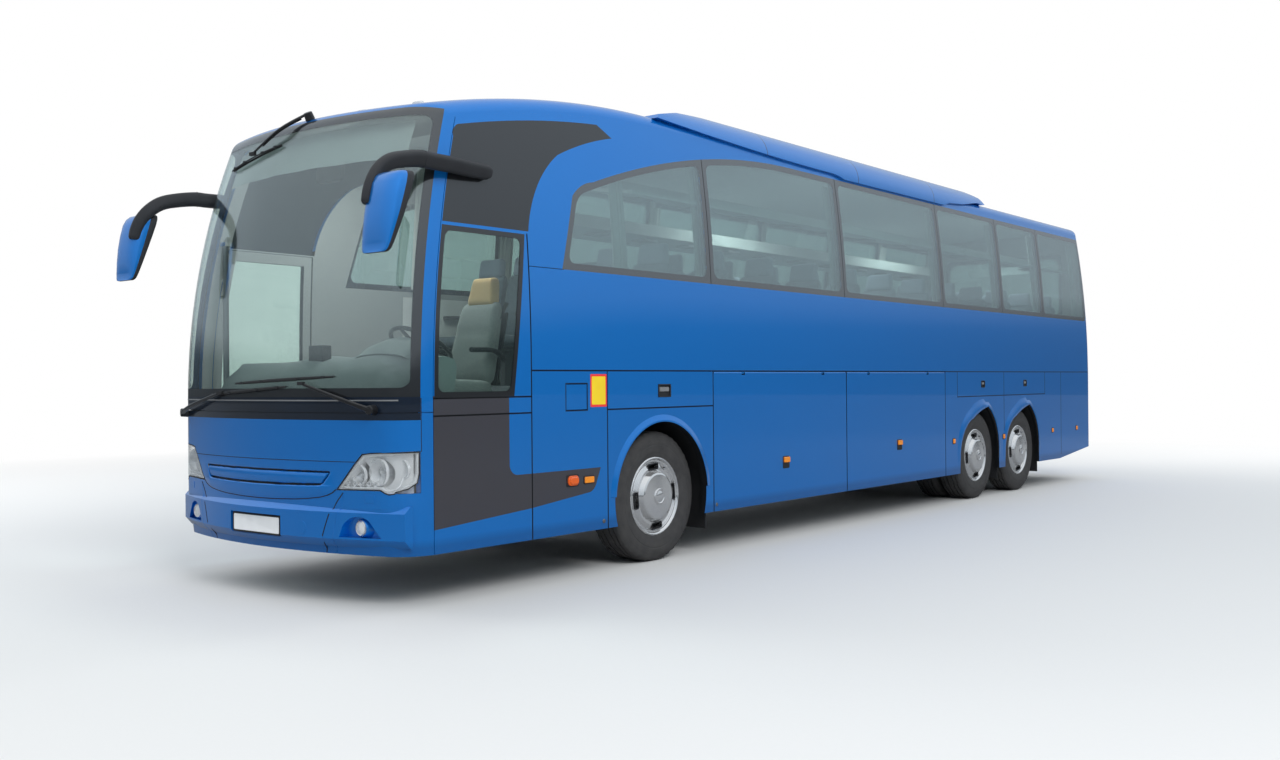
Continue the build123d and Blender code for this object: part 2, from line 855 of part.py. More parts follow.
with BuildPart() as front_bumper:
    add(wall_skin.part)
    box_between((-2000, 2000), (nose_y - 100, y_at(corner_seam)), (0, mask_low_z), Mode.INTERSECT)
    with BuildSketch(Plane.XZ.offset(-y_at(1000))):
        with Locations((0, mask_low_z)):
            Rectangle(2 * tongue_half, 2 * (mask_low_z - mask_tongue_z))
    extrude(amount=2000, mode=Mode.SUBTRACT)
    add(ledge.part)
    add(bumper_cuts.part, mode=Mode.SUBTRACT)
    box_between((-plate_half, plate_half), (nose_y - 200, nose_y - 6), plate_box_z, Mode.SUBTRACT)
    with Locations(Plane((tow_x, y_at(125), tow_z), z_dir=(0, -1, 0))):
        Cylinder(tow_boss_radius, 150)
    with Locations(Plane((tow_x, y_at(30), tow_z), z_dir=(0, -1, 0))):
        Cylinder(tow_mouth_radius, 300, align=(Align.CENTER, Align.CENTER, Align.MIN), mode=Mode.SUBTRACT)
    with Locations(Plane((tow_x, y_at(125), tow_z), z_dir=(0, -1, 0))):
        Cylinder(tow_bore_radius, 300, mode=Mode.SUBTRACT)
    for side in (1, -1):
        with Locations(Plane((side * fog_x, y_at(fog_front + 50), fog_z), z_dir=(0, -1, 0))):
            Cylinder(fog_radius + seat_gap, fog_length + 200, mode=Mode.SUBTRACT)
save("front_bumper", front_bumper.part)

with BuildPart() as fog_lamps:
    for side in (1, -1):
        with Locations(Plane((side * fog_x, y_at(fog_front + fog_length / 2), fog_z), z_dir=(0, -1, 0))):
            Cylinder(fog_radius, fog_length)
save("fog_lamps", fog_lamps.part)

# Reflector housings behind the headlamp covers, with the bowls of the two lamps
bowl_rows = [
    # x, z, radius
    (915, 862, 72),
    (1080, 858, 88),
]
bowl_end = 320
bowl_depth = 70
with BuildPart() as lamp_bowls:
    for side in (1, -1):
        with BuildPart(mode=Mode.PRIVATE) as housing:
            with BuildSketch(Plane.XZ.offset(-y_at(bowl_end))):
                add(lamp_outline(side, -14))
            extrude(amount=500)
            add(inner_form, mode=Mode.INTERSECT)
            for bowl_x, bowl_z, bowl_radius in bowl_rows:
                front_d = nose_plan_radius - sqrt(nose_plan_radius**2 - bowl_x**2) + 60
                with Locations(Plane((side * bowl_x, y_at(front_d), bowl_z), z_dir=(0, -1, 0))):
                    Cone(25, bowl_radius * 1.5, 2 * bowl_depth, mode=Mode.SUBTRACT)
        add(housing.part)
save("lamp_bowls", lamp_bowls.part)

# Rear wall with its window, lid and lamp openings
with BuildPart() as rear_wall:
    add(wall_skin.part)
    box_between((-2000, 2000), (tail_y - tail_corner_radius, tail_y + 100), (0, cap_z),
                Mode.INTERSECT)
    with BuildSketch(Plane.XZ.offset(-(tail_y - 600))):
        with Locations((0, (rear_window_low_z + rear_window_top_z) / 2)):
            RectangleRounded(2 * rear_window_half, rear_window_top_z - rear_window_low_z, 90)
        with Locations((0, (lid_low_z + lid_top_z) / 2)):
            Rectangle(2 * lid_half_width, lid_top_z - lid_low_z)
        for side in (1, -1):
            with Locations((side * sum(tail_lamp_x) / 2, sum(tail_lamp_z) / 2)):
                Rectangle(tail_lamp_x[1] - tail_lamp_x[0], tail_lamp_z[1] - tail_lamp_z[0])
    extrude(amount=-900, mode=Mode.SUBTRACT)
    lid_pin_y = tail_y - hinge_knuckle_radius - tail_lean * (lid_top_z - tail_lean_z) / 2500 - 2
    with Locations(Plane((0, lid_pin_y, lid_top_z - 16), z_dir=(1, 0, 0))):
        Cylinder(hinge_pin_radius, 2 * lid_half_width)
    for web_x in (-500, 500):
        box_between((web_x - 20, web_x + 20), (lid_pin_y - 8, lid_pin_y + 8),
                    (lid_top_z - 16, lid_top_z + 5))
save("rear_wall", rear_wall.part)

with BuildPart() as tail_lamps:
    add(wall_skin.part)
    with BuildSketch(Plane.XZ.offset(-(tail_y - 600))):
        for side in (1, -1):
            with Locations((side * sum(tail_lamp_x) / 2, sum(tail_lamp_z) / 2)):
                Rectangle(tail_lamp_x[1] - tail_lamp_x[0], tail_lamp_z[1] - tail_lamp_z[0])
    extrude(amount=-900, mode=Mode.INTERSECT)
save("tail_lamps", tail_lamps.part)

# Roof fairing over the air conditioning: a cowl that laps over the roof's edges down to the windows
pod_start = 2944
pod_end = 9500
pod_skirt_x = 1178
pod_skirt_z = 3425
pod_shoulder = (1010, 3700)
pod_top_z = 3790
with BuildPart() as roof_pod:
    with BuildSketch(Plane.XZ.offset(-y_at(pod_start))):
        with BuildLine():
            shoulder_x, shoulder_z = pod_shoulder
            Polyline((-pod_skirt_x, pod_skirt_z), (-pod_skirt_x, 3200), (pod_skirt_x, 3200),
                     (pod_skirt_x, pod_skirt_z))
            ThreePointArc((pod_skirt_x, pod_skirt_z), (1140, 3585), pod_shoulder)
            ThreePointArc(pod_shoulder, (0, pod_top_z), (-shoulder_x, shoulder_z))
            ThreePointArc((-shoulder_x, shoulder_z), (-1140, 3585), (-pod_skirt_x, pod_skirt_z))
        make_face()
    extrude(amount=pod_start - pod_end)
    with BuildSketch(Plane.YZ):
        with BuildLine():
            Polyline((y_at(pod_start), 3552), (y_at(pod_start + 40), 3590), (y_at(3300), 3660))
            ThreePointArc((y_at(3300), 3660), (y_at(4700), 3755), (y_at(6700), pod_top_z))
            Polyline((y_at(6700), pod_top_z), (y_at(8300), 3780), (y_at(9000), 3730), (y_at(9440), 3640),
                     (y_at(pod_end), 3560), (y_at(9250), 3556), (y_at(8800), 3490), (y_at(8420), 3462),
                     (y_at(8300), pod_skirt_z), (y_at(5960), pod_skirt_z))
            ThreePointArc((y_at(5960), pod_skirt_z), (y_at(5850), 3448), (y_at(5700), 3458))
            ThreePointArc((y_at(5700), 3458), (y_at(4400), 3482), (y_at(pod_start), 3552))
        make_face()
    extrude(amount=2000, both=True, mode=Mode.INTERSECT)
    add(outer_form, mode=Mode.SUBTRACT)
save("roof_pod", roof_pod.part)

# Cabin floor: raised deck, driver's platform and the steps between them
step_half = 330
stair_x = -560
front_stair_x = -620
deck_start_y = y_at(2250)
with BuildPart() as cabin_floor:
    box_between((-inner_x, inner_x), (deck_start_y, tail_y - tail_corner_radius), (deck_z - plate, deck_z))
    box_between((-1100, 1100), (tail_y - 400, tail_y - wall), (deck_z - plate, deck_z))
    box_between((-inner_x, stair_x), (mid_door_start_y, bay_end_y), (deck_z - plate, deck_z), Mode.SUBTRACT)
    box_between((front_stair_x, 1000), (y_at(340), deck_start_y), (platform_z - plate, platform_z))
    box_between((front_stair_x, inner_x), (y_at(corner_seam), deck_start_y), (platform_z - plate, platform_z))
    box_between((-inner_x, inner_x), (deck_start_y - plate, deck_start_y), (platform_z - plate, deck_z))
    for number in (1, 2):
        tread_z = platform_z + number * (deck_z - platform_z) / 3
        step_y = deck_start_y - plate - (3 - number) * 280
        box_between((-step_half, step_half), (step_y, deck_start_y - plate), (platform_z, tread_z))
    # Stairs inside the front doorway, rising towards the driver's platform
    stair_end_y = y_at(driver_bay_rear)
    box_between((-inner_x, front_stair_x), (stair_end_y, deck_start_y), (platform_z - plate, platform_z))
    box_between((-inner_x + 8, front_stair_x), (y_at(460), stair_end_y), (bay_floor_z - plate, bay_floor_z))
    box_between((front_stair_x, front_stair_x + plate), (y_at(460), stair_end_y),
                (bay_floor_z - plate, platform_z))
    for number in (1, 2):
        tread_z = bay_floor_z + number * (platform_z - bay_floor_z) / 3
        box_between((-1220 + number * 200, front_stair_x), (y_at(460), stair_end_y), (bay_floor_z, tread_z))
save("cabin_floor", cabin_floor.part)

# Luggage bay between the axles, with the stairwell of the middle door
with BuildPart() as luggage_bay:
    bay_edge = inner_x - 8
    box_between((-bay_edge, bay_edge), (bay_start_y, bay_end_y), (bay_floor_z - plate, bay_floor_z))
    for bulkhead_y in (bay_start_y - plate, bay_end_y):
        box_between((-inner_x, inner_x), (bulkhead_y, bulkhead_y + plate),
                    (bay_floor_z - plate, deck_z - plate))
    box_between((-inner_x, stair_x), (mid_door_start_y - plate, mid_door_start_y),
                (bay_floor_z - plate, deck_z - plate))
    box_between((stair_x, stair_x + plate), (mid_door_start_y - plate, bay_end_y),
                (bay_floor_z - plate, deck_z - plate))
    for number in range(1, 4):
        tread_z = bay_floor_z + number * (deck_z - bay_floor_z) / 4
        box_between((-1190 + number * 150, stair_x), (mid_door_start_y, bay_end_y),
                    (bay_floor_z, tread_z))
save("luggage_bay", luggage_bay.part)

# Chassis rails under the deck, ahead of and behind the luggage bay
rail_x = (420, 460)
with BuildPart() as chassis_rails:
    for side in (1, -1):
        side_box(side, rail_x, (deck_start_y, bay_start_y - plate), (720, deck_z - plate))
        side_box(side, rail_x, (bay_end_y + plate, tail_y - wall - 60), (900, deck_z - plate))
    box_between((-rail_x[0], rail_x[0]), (bay_start_y - plate - 60, bay_start_y - plate),
                (720, 860))
    box_between((-rail_x[0], rail_x[0]), (bay_end_y + plate, bay_end_y + plate + 60), (900, 1040))
save("chassis_rails", chassis_rails.part)

# Wheel housings, with the mud flap hanging behind each wheel
liner = 12
housing_rows = [
    # axle, arch radius, inner wall
    (front_axle_y, 628, 500),
    (drive_axle_y, 600, 560),
    (tag_axle_y, 600, 560),
]
with BuildPart() as arch_liners:
    for axle_y, radius, wall_x in housing_rows:
        for side in (1, -1):
            with BuildSketch(Plane.YZ.offset(side * wall_x)):
                with Locations((axle_y, tyre_radius)):
                    Circle(radius + liner)
                    Circle(radius, mode=Mode.SUBTRACT)
                    with Locations((0, -radius)):
                        Rectangle(3 * radius, 2 * radius - 60, mode=Mode.SUBTRACT)
            extrude(amount=side * (inner_x - wall_x))
            with BuildSketch(Plane.YZ.offset(side * wall_x)):
                with Locations((axle_y, tyre_radius)):
                    Circle(radius + liner)
                    with Locations((0, -radius)):
                        Rectangle(3 * radius, 2 * radius - 60, mode=Mode.SUBTRACT)
            extrude(amount=-side * liner)
            side_box(side, (wall_x - 50, wall_x + 10), (axle_y - 110, axle_y + 110), (400, 640),
                     Mode.SUBTRACT)
            flap_y = axle_y + radius
            side_box(side, (930, inner_x - 4), (flap_y, flap_y + liner), (200, tyre_radius + 70))
save("arch_liners", arch_liners.part)

# Axle beams with the air springs that carry the coach
hub_pin_length = 150
front_centre_x = front_tyre_face - tyre_width / 2
rear_centre_x = rear_tyre_face - tyre_width / 2
hub_face_x = 45
eye_radius = 46
ear_offset = 88
ear_height = 45
spring_x = 330
spring_radius = 85
axle_tube_radius = 75
differential_radius = 190
with BuildPart() as axle_beams:
    beam_z = tyre_radius
    box_between((-860, 860), (front_axle_y - 55, front_axle_y + 55), (beam_z - 100, beam_z + 20))
    for side in (1, -1):
        with Locations((side * kingpin_x, front_axle_y, beam_z - 40)):
            Cylinder(eye_radius, 120)
            Cylinder(kingpin_radius, 2 * ear_offset + ear_height)
        side_box(side, (850, kingpin_x), (front_axle_y - 30, front_axle_y + 30),
                 (beam_z - 90, beam_z + 10))
        for axle_y in (front_axle_y, drive_axle_y, tag_axle_y):
            with Locations((side * spring_x, axle_y, (beam_z + deck_z - plate) / 2)):
                Cylinder(spring_radius, deck_z - plate - beam_z)
    reach = rear_centre_x - hub_face_x
    for axle_y in (drive_axle_y, tag_axle_y):
        with Locations(Plane((0, axle_y, beam_z), z_dir=(1, 0, 0))):
            Cylinder(axle_tube_radius, 2 * (reach - 60))
            Cylinder(hub_pin_radius, 2 * (reach + hub_pin_length - 60))
    with Locations((0, drive_axle_y, beam_z)):
        Sphere(differential_radius)
save("axle_beams", axle_beams.part)

# Engine, one block at its real size and place on bearers between the rails
with BuildPart() as engine_block:
    box_between((-rail_x[0], rail_x[0]), (tail_y - 1750, tail_y - 420), (560, 1250))
save("engine_block", engine_block.part)

# Dashboard and steering wheel
with BuildPart() as dashboard:
    with BuildSketch(Plane.YZ.offset(-1100)):
        with BuildLine():
            Polyline(
                (y_at(330), platform_z), (y_at(300), 1380), (y_at(420), 1480), (y_at(760), 1500),
                (y_at(840), 1400), (y_at(700), platform_z), close=True,
            )
        make_face()
    extrude(amount=2200)
    box_between((-1200, -600), (y_at(440), y_at(900)), (0, 1380), Mode.SUBTRACT)
    wheel_plane = Plane((650, y_at(1010), 1620), z_dir=(0, 0.55, 0.84))
    with Locations(wheel_plane):
        Torus(225, 16)
        Cylinder(60, 40)
        Box(430, 40, 16)
    with Locations(wheel_plane.offset(-150)):
        Cylinder(40, 320)
save("dashboard", dashboard.part)

# Seats: the driver's and guide's seats, then the passengers' rows on the deck
seat_width = 450
seat_pitch = 800
first_row = 2560
row_count = 12


def seat_profile(y, z):
    """Side view of a seat that faces the nose, y at the front of its cushion."""
    with BuildSketch(mode=Mode.PRIVATE) as outline:
        with BuildLine():
            Polyline(
                (y, z + 330), (y, z + 450), (y + 430, z + 430), (y + 560, z + 1180),
                (y + 650, z + 1180), (y + 560, z + 330), close=True,
            )
        make_face()
    return outline.sketch


with BuildPart() as crew_seats:
    for seat_x, seat_y in ((700, y_at(1250)),):
        with BuildSketch(Plane.YZ.offset(seat_x - seat_width / 2)):
            add(seat_profile(seat_y, platform_z + 60))
        extrude(amount=seat_width)
        with Locations((seat_x, seat_y + 280, platform_z + 195)):
            Box(200, 300, 390)
save("crew_seats", crew_seats.part)

with BuildPart() as passenger_seats:
    for row in range(row_count):
        row_y = y_at(first_row) + row * seat_pitch
        for side in (1, -1):
            if side == -1 and mid_door_start_y - 700 < row_y < bay_end_y:
                continue
            with BuildSketch(Plane.YZ.offset(side * 270)):
                add(seat_profile(row_y, deck_z))
            extrude(amount=side * 2 * seat_width)
            side_box(side, (600, 900), (row_y + 150, row_y + 400), (deck_z, deck_z + 340))
save("passenger_seats", passenger_seats.part)

with BuildPart() as luggage_racks:
    for side in (1, -1):
        with BuildSketch(Plane.XZ.offset(-y_at(2600))):
            with BuildLine():
                Polyline(
                    (side * 760, 2960), (side * side_x(2900, wall), 2900),
                    (side * side_x(2925, wall), 2925), (side * 785, 2985),
                    (side * 785, 3080), (side * 760, 3080), close=True,
                )
            make_face()
        extrude(amount=y_at(2600) - (tail_y - 600))
save("luggage_racks", luggage_racks.part)

# Mirrors on long curved arms that spring from the cab sides
mirror_x = 1440
mirror_width = 280
mirror_depth = 150
mirror_low_z = 2200
mirror_height = 560
mirror_corner = 60
mirror_arm_radius = 36
mirror_d = mirror_depth / 2 - mirror_reach
with BuildPart() as mirrors:
    for side in (1, -1):
        with BuildPart(mode=Mode.PRIVATE) as mirror_arm:
            with BuildLine() as route:
                FilletPolyline(
                    (side * 1195, y_at(900), 2870), (side * 1290, y_at(380), 2890),
                    (side * 1330, y_at(40), 2870), (side * 1420, y_at(mirror_d), 2740),
                    (side * mirror_x, y_at(mirror_d), 2560),
                    radius=100,
                )
            with BuildSketch(Plane(route.line @ 0, z_dir=route.line % 0)):
                Circle(mirror_arm_radius)
            sweep()
            with BuildSketch(Plane.XY.offset(mirror_low_z)):
                with Locations((side * mirror_x, y_at(mirror_d))):
                    RectangleRounded(mirror_width, mirror_depth, mirror_corner)
            extrude(amount=mirror_height, taper=4)
            add(outer_form, mode=Mode.SUBTRACT)
        add(mirror_arm.part)
save("mirrors", mirrors.part)

# Wipers lying on the windscreen
wiper_form = envelope(-14)
with BuildPart() as wipers:
    for pivot_x, blade_x in ((620, 130), (-560, -560)):
        with BuildPart(mode=Mode.PRIVATE) as wiper:
            add(wiper_form)
            add(outer_form, mode=Mode.SUBTRACT)
            with BuildSketch(Plane.XZ.offset(-y_at(300))):
                with BuildLine():
                    Polyline(
                        (pivot_x, 1290), (pivot_x + 30, 1290), (blade_x + 30, 1420), (blade_x, 1400),
                        close=True,
                    )
                make_face()
                with Locations((blade_x, 1400)):
                    Rectangle(900, 22, rotation=-4)
            extrude(amount=1400, mode=Mode.INTERSECT)
        add(wiper.part)
save("wipers", wipers.part)

# Wheels and tyres
tyre_section = [
    # radius, share of the half width
    (rim_radius, 0.72), (rim_radius + 40, 0.9), (400, 1.0), (tyre_radius - 50, 0.96),
    (tyre_radius, 0.82),
]
hub_radius = 115
rim_flange = 105
well_radius = 262
trim_section = [
    # distance out from the wheel's centre plane, radius: polished dome from the rim to its cap
    (118, rim_radius), (118, 276), (104, 270), (112, 262), (126, 232), (124, 208), (158, 186),
    (164, 172), (171, 60), (171, 50), (177, 47), (177, 38), (171, 34), (171, 0),
]
hub_section = [
    # distance out from the wheel's centre plane, radius: bore and back of the disc
    (90, 0), (90, hub_pin_radius + pin_gap), (-hub_face_x, hub_pin_radius + pin_gap),
    (-hub_face_x, hub_radius), (60, hub_radius), (100, 255), (80, well_radius),
]
slot_count = 4
slot_turn = 5
slot_centre = 236
slot_width = 34
slot_length = 118
wheel_rows = [
    # name, side, axle, centre plane, twin
    ("front_left", 1, front_axle_y, front_centre_x, False),
    ("front_right", -1, front_axle_y, front_centre_x, False),
    ("drive_left", 1, drive_axle_y, rear_centre_x, True),
    ("drive_right", -1, drive_axle_y, rear_centre_x, True),
    ("tag_left", 1, tag_axle_y, rear_centre_x, False),
    ("tag_right", -1, tag_axle_y, rear_centre_x, False),
]
for name, side, axle_y, centre_x, twin in wheel_rows:
    wheel_axis = Axis((0, axle_y, tyre_radius), (1, 0, 0))
    half_tyre = tyre_width / 2
    centres = [centre_x, centre_x - twin_spacing] if twin else [centre_x]
    with BuildPart() as tyre:
        for plane_x in centres:
            outer = [(side * (plane_x + share * half_tyre), tyre_radius + r) for r, share in tyre_section]
            inner = [(side * (plane_x - share * half_tyre), tyre_radius + r) for r, share in tyre_section]
            with BuildSketch(Plane.XZ.offset(-axle_y)):
                with BuildLine():
                    Polyline(outer + inner[::-1], close=True)
                make_face()
            revolve(axis=wheel_axis)
    save("tyre_" + name, tyre.part)
    with BuildPart() as wheel:
        inboard = centres[-1] - rim_flange
        with BuildSketch(Plane.XZ.offset(-axle_y)):
            with BuildLine():
                profile = [(side * (centre_x + x), tyre_radius + r) for x, r in trim_section + hub_section]
                profile.append((side * inboard, tyre_radius + well_radius))
                profile.append((side * inboard, tyre_radius + rim_radius))
                Polyline(profile, close=True)
            make_face()
        revolve(axis=wheel_axis)
        for number in range(slot_count):
            turn = radians(360 * number / slot_count + slot_turn)
            slot_y = axle_y + slot_centre * cos(turn)
            slot_z = tyre_radius + slot_centre * sin(turn)
            outward = (0, cos(turn), sin(turn))
            with Locations(Plane((side * (centre_x + 100), slot_y, slot_z), x_dir=outward, z_dir=(1, 0, 0))):
                Box(slot_width, slot_length, 120, mode=Mode.SUBTRACT)
    save("wheel_" + name, wheel.part)

# Steering knuckles: a fork round the axle's eye and a stub that carries the wheel
knuckle_web = (52, 72)
eye_z = tyre_radius - 40
for side, name in ((1, "knuckle_left"), (-1, "knuckle_right")):
    with BuildPart() as knuckle:
        fork_half = ear_offset + ear_height / 2
        for ear_z in (eye_z + ear_offset, eye_z - ear_offset):
            with Locations((side * kingpin_x, front_axle_y, ear_z)):
                Cylinder(eye_radius, ear_height)
            side_box(side, (kingpin_x, kingpin_x + knuckle_web[1]),
                     (front_axle_y - 40, front_axle_y + 40),
                     (ear_z - ear_height / 2, ear_z + ear_height / 2))
        side_box(side, (kingpin_x + knuckle_web[0], kingpin_x + knuckle_web[1]),
                 (front_axle_y - 45, front_axle_y + 45), (eye_z - fork_half, eye_z + fork_half))
        stub_start = kingpin_x + knuckle_web[0] + 5
        stub_end = front_centre_x + 80
        with Locations(Plane((side * (stub_start + stub_end) / 2, front_axle_y, tyre_radius),
                             z_dir=(1, 0, 0))):
            Cylinder(hub_pin_radius, stub_end - stub_start)
        with Locations((side * kingpin_x, front_axle_y, eye_z)):
            Cylinder(kingpin_radius + pin_gap, 400, mode=Mode.SUBTRACT)
    save(name, knuckle.part)

# Luggage flaps hung from a pin along the waist
for name, side, start, end in flap_rows:
    first = start + panel_gap
    last = end - panel_gap
    with BuildPart() as flap:
        side_box(side, (inner_x, half_width), (first, last), (skirt_z, hinge_z - 4))
        with Locations(Plane((side * hinge_x, (first + last) / 2, hinge_z), z_dir=(0, 1, 0))):
            Cylinder(hinge_knuckle_radius, last - first - 2 * panel_gap)
            Cylinder(hinge_pin_radius + pin_gap, last - first, mode=Mode.SUBTRACT)
        for part_of_length in (0.2, 0.8):
            web_y = start + part_of_length * (end - start)
            side_box(side, (hinge_x - 20, hinge_x + 20), (web_y - 24, web_y + 24),
                     (hinge_z - 16, waist_z), Mode.SUBTRACT)
    save(name, flap.part)

# Engine lid in the rear wall, with grooves between its louvres
louvre_count = 7
louvre_pitch = 46
louvre_slot = 20
louvre_start_z = 1290
louvre_length = 1240
with BuildPart() as louvre_slots:
    add(recess_skin.part)
    with BuildSketch(Plane.XZ.offset(-(tail_y - 600))):
        for number in range(louvre_count):
            with Locations((0, louvre_start_z + number * louvre_pitch)):
                Rectangle(louvre_length, louvre_slot)
    extrude(amount=-900, mode=Mode.INTERSECT)

with BuildPart() as engine_lid:
    add(wall_skin.part)
    with BuildSketch(Plane.XZ.offset(-(tail_y - 600))):
        with Locations((0, (lid_low_z + lid_top_z - 20) / 2)):
            Rectangle(2 * lid_half_width - 2 * panel_gap, lid_top_z - lid_low_z - 20 - panel_gap)
    extrude(amount=-900, mode=Mode.INTERSECT)
    box_between((-2000, 2000), (tail_y - 200, tail_y + 100), (0, cap_z), Mode.INTERSECT)
    add(louvre_slots.part, mode=Mode.SUBTRACT)
    with Locations(Plane((0, lid_pin_y, lid_top_z - 16), z_dir=(1, 0, 0))):
        Cylinder(hinge_knuckle_radius, 2 * lid_half_width - 4 * panel_gap)
        Cylinder(hinge_pin_radius + pin_gap, 2 * lid_half_width, mode=Mode.SUBTRACT)
    for web_x in (-500, 500):
        box_between((web_x - 24, web_x + 24), (lid_pin_y - 20, lid_pin_y + 20),
                    (lid_top_z - 32, lid_top_z), Mode.SUBTRACT)
save("engine_lid", engine_lid.part)

# Fuel flap, hinged on an upright pin at its front edge
with BuildPart() as fuel_flap:
    flap_low = fuel_flap_box[2] + panel_gap
    flap_high = fuel_flap_box[3] - panel_gap
    box_between((half_width - 2 * fuel_knuckle_radius, half_width),
                (fuel_pin_y, fuel_flap_box[1] - panel_gap), (flap_low, flap_high))
    with Locations((fuel_pin_x, fuel_pin_y, (flap_low + flap_high) / 2)):
        Cylinder(fuel_knuckle_radius, flap_high - flap_low)
        Cylinder(fuel_pin_radius + pin_gap, 2 * flap_high, mode=Mode.SUBTRACT)
save("fuel_flap", fuel_flap.part)

# Passenger doors: a leaf on two arms that turn with an upright column
column_base_z = bay_floor_z + 0.3
leaf_rail = 80
lower_light = (620, 1180)
upper_light_low = 1400
for name, distance, end, top_z, column_first in door_rows:
    start = y_at(distance)
    way = 1 if column_first else -1
    column_y = start + column_inset if column_first else end - column_inset
    pivot_y = column_y + way * arm_length
    column_top_z = top_z + 15 + plate
    with BuildPart() as arms:
        with Locations((-column_x, column_y, (column_base_z + column_top_z) / 2)):
            Cylinder(column_radius, column_top_z - column_base_z)
        for level in arm_levels:
            box_between((-column_x - 18, -column_x + 18),
                        (min(column_y, pivot_y), max(column_y, pivot_y)), (level - 15, level + 15))
            with Locations((-column_x, pivot_y, level)):
                Cylinder(26, 30)
                Cylinder(pivot_radius, 110)
    save(name + "_arms", arms.part)

    def door_lights():
        """Side view of the leaf's two panes."""
        with BuildSketch(mode=Mode.PRIVATE) as lights:
            middle = (start + end) / 2
            low_z, high_z = lower_light
            with Locations((middle, (low_z + high_z) / 2)):
                Rectangle(end - start - 2 * leaf_rail, high_z - low_z)
            add(doorway(distance, end, top_z, leaf_rail))
            with Locations((middle, (high_z + upper_light_low) / 2)):
                Rectangle(2000, upper_light_low - high_z, mode=Mode.SUBTRACT)
            with Locations((middle, 0)):
                Rectangle(2000, 2 * low_z, mode=Mode.SUBTRACT)
        return lights.sketch

    with BuildPart() as leaf:
        add(wall_skin.part)
        with BuildSketch(side_plane(-1)):
            add(doorway(distance, end, top_z, panel_gap))
        extrude(amount=-side_cut_depth, mode=Mode.INTERSECT)
        with BuildSketch(side_plane(-1)):
            add(door_lights())
        extrude(amount=-side_cut_depth, mode=Mode.SUBTRACT)
        for level in arm_levels:
            for ear_z in (level - 38, level + 38):
                box_between((-inner_x, -column_x + 28), (pivot_y - 28, pivot_y + 28),
                            (ear_z - 12, ear_z + 12))
            with Locations((-column_x, pivot_y, level)):
                Cylinder(pivot_radius + pin_gap, 200, mode=Mode.SUBTRACT)
    save(name, leaf.part)
    with BuildPart() as leaf_glass:
        add(pane_skin.part)
        with BuildSketch(side_plane(-1)):
            add(door_lights())
        extrude(amount=-side_cut_depth, mode=Mode.INTERSECT)
    save(name + "_glass", leaf_glass.part)
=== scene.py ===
import bpy
import bmesh
import math
from mathutils import Matrix, Vector
from mathutils.bvhtree import BVHTree


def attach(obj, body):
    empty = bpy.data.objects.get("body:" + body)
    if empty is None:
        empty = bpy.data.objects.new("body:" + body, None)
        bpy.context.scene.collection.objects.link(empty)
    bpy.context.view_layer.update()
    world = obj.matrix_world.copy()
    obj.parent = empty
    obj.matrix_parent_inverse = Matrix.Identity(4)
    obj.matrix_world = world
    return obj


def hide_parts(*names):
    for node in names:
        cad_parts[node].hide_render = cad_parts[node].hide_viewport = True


# A three-axle touring coach dressed over its CAD frame. Metres, +Z up, nose towards -Y, driver's side +X.
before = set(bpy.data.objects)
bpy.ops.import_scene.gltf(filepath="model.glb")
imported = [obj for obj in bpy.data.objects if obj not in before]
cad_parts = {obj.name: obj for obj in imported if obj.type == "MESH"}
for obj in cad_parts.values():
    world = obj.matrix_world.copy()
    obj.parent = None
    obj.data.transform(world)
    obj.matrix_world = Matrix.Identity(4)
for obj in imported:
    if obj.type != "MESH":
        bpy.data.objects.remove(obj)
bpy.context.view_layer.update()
scene = bpy.context.scene
scene.view_settings.view_transform = "Standard"

NOSE = -6.415
NOSE_BOW = 3.95   # radius of the nose seen from above
HALF_WIDTH, SHOULDER_Z = 1.275, 1.703   # the walls are upright up to the shoulder
WALL_BOW = 12   # radius of the lean above it
SIDES = (("left", 1), ("right", -1))
FRONT_AXLE, DRIVE_AXLE, TAG_AXLE = -3.582, 2.625, 3.96
AXLE_Z = 0.516
SILL_Z, WINDOW_TOP_Z = 2.238, 3.41   # edges of the side glass
SCREEN_LOW_Z, SCREEN_TOP_Z = 1.343, 3.238   # edges of the windscreen
WINDOW_JOINTS = (-2.895, -0.625, 1.645, 3.35, 4.735)   # Y of the joints between the side panes
MID_DOOR_FRONT = 0.735
DECK_Z, PLATFORM_Z = 1.4, 0.93   # floors of the saloon and of the cab
TOW_X = 0.48   # the towing bore in the bumper


def back(distance):
    """Y of a place given in metres behind the nose."""
    return NOSE + distance


def side_x(z):
    """Half width of the shell at a height."""
    rise = max(0.0, z - SHOULDER_Z)
    return HALF_WIDTH - WALL_BOW + math.sqrt(WALL_BOW**2 - rise**2)


def nose_drop(x):
    """How far the plain nose lies behind its foremost point at a place across."""
    return NOSE_BOW - math.sqrt(NOSE_BOW**2 - x * x)


# ---------- shader helpers


def by(operation):
    """An operator that adds a Math node."""
    return lambda wire, *others: wire.maths(operation, *others)


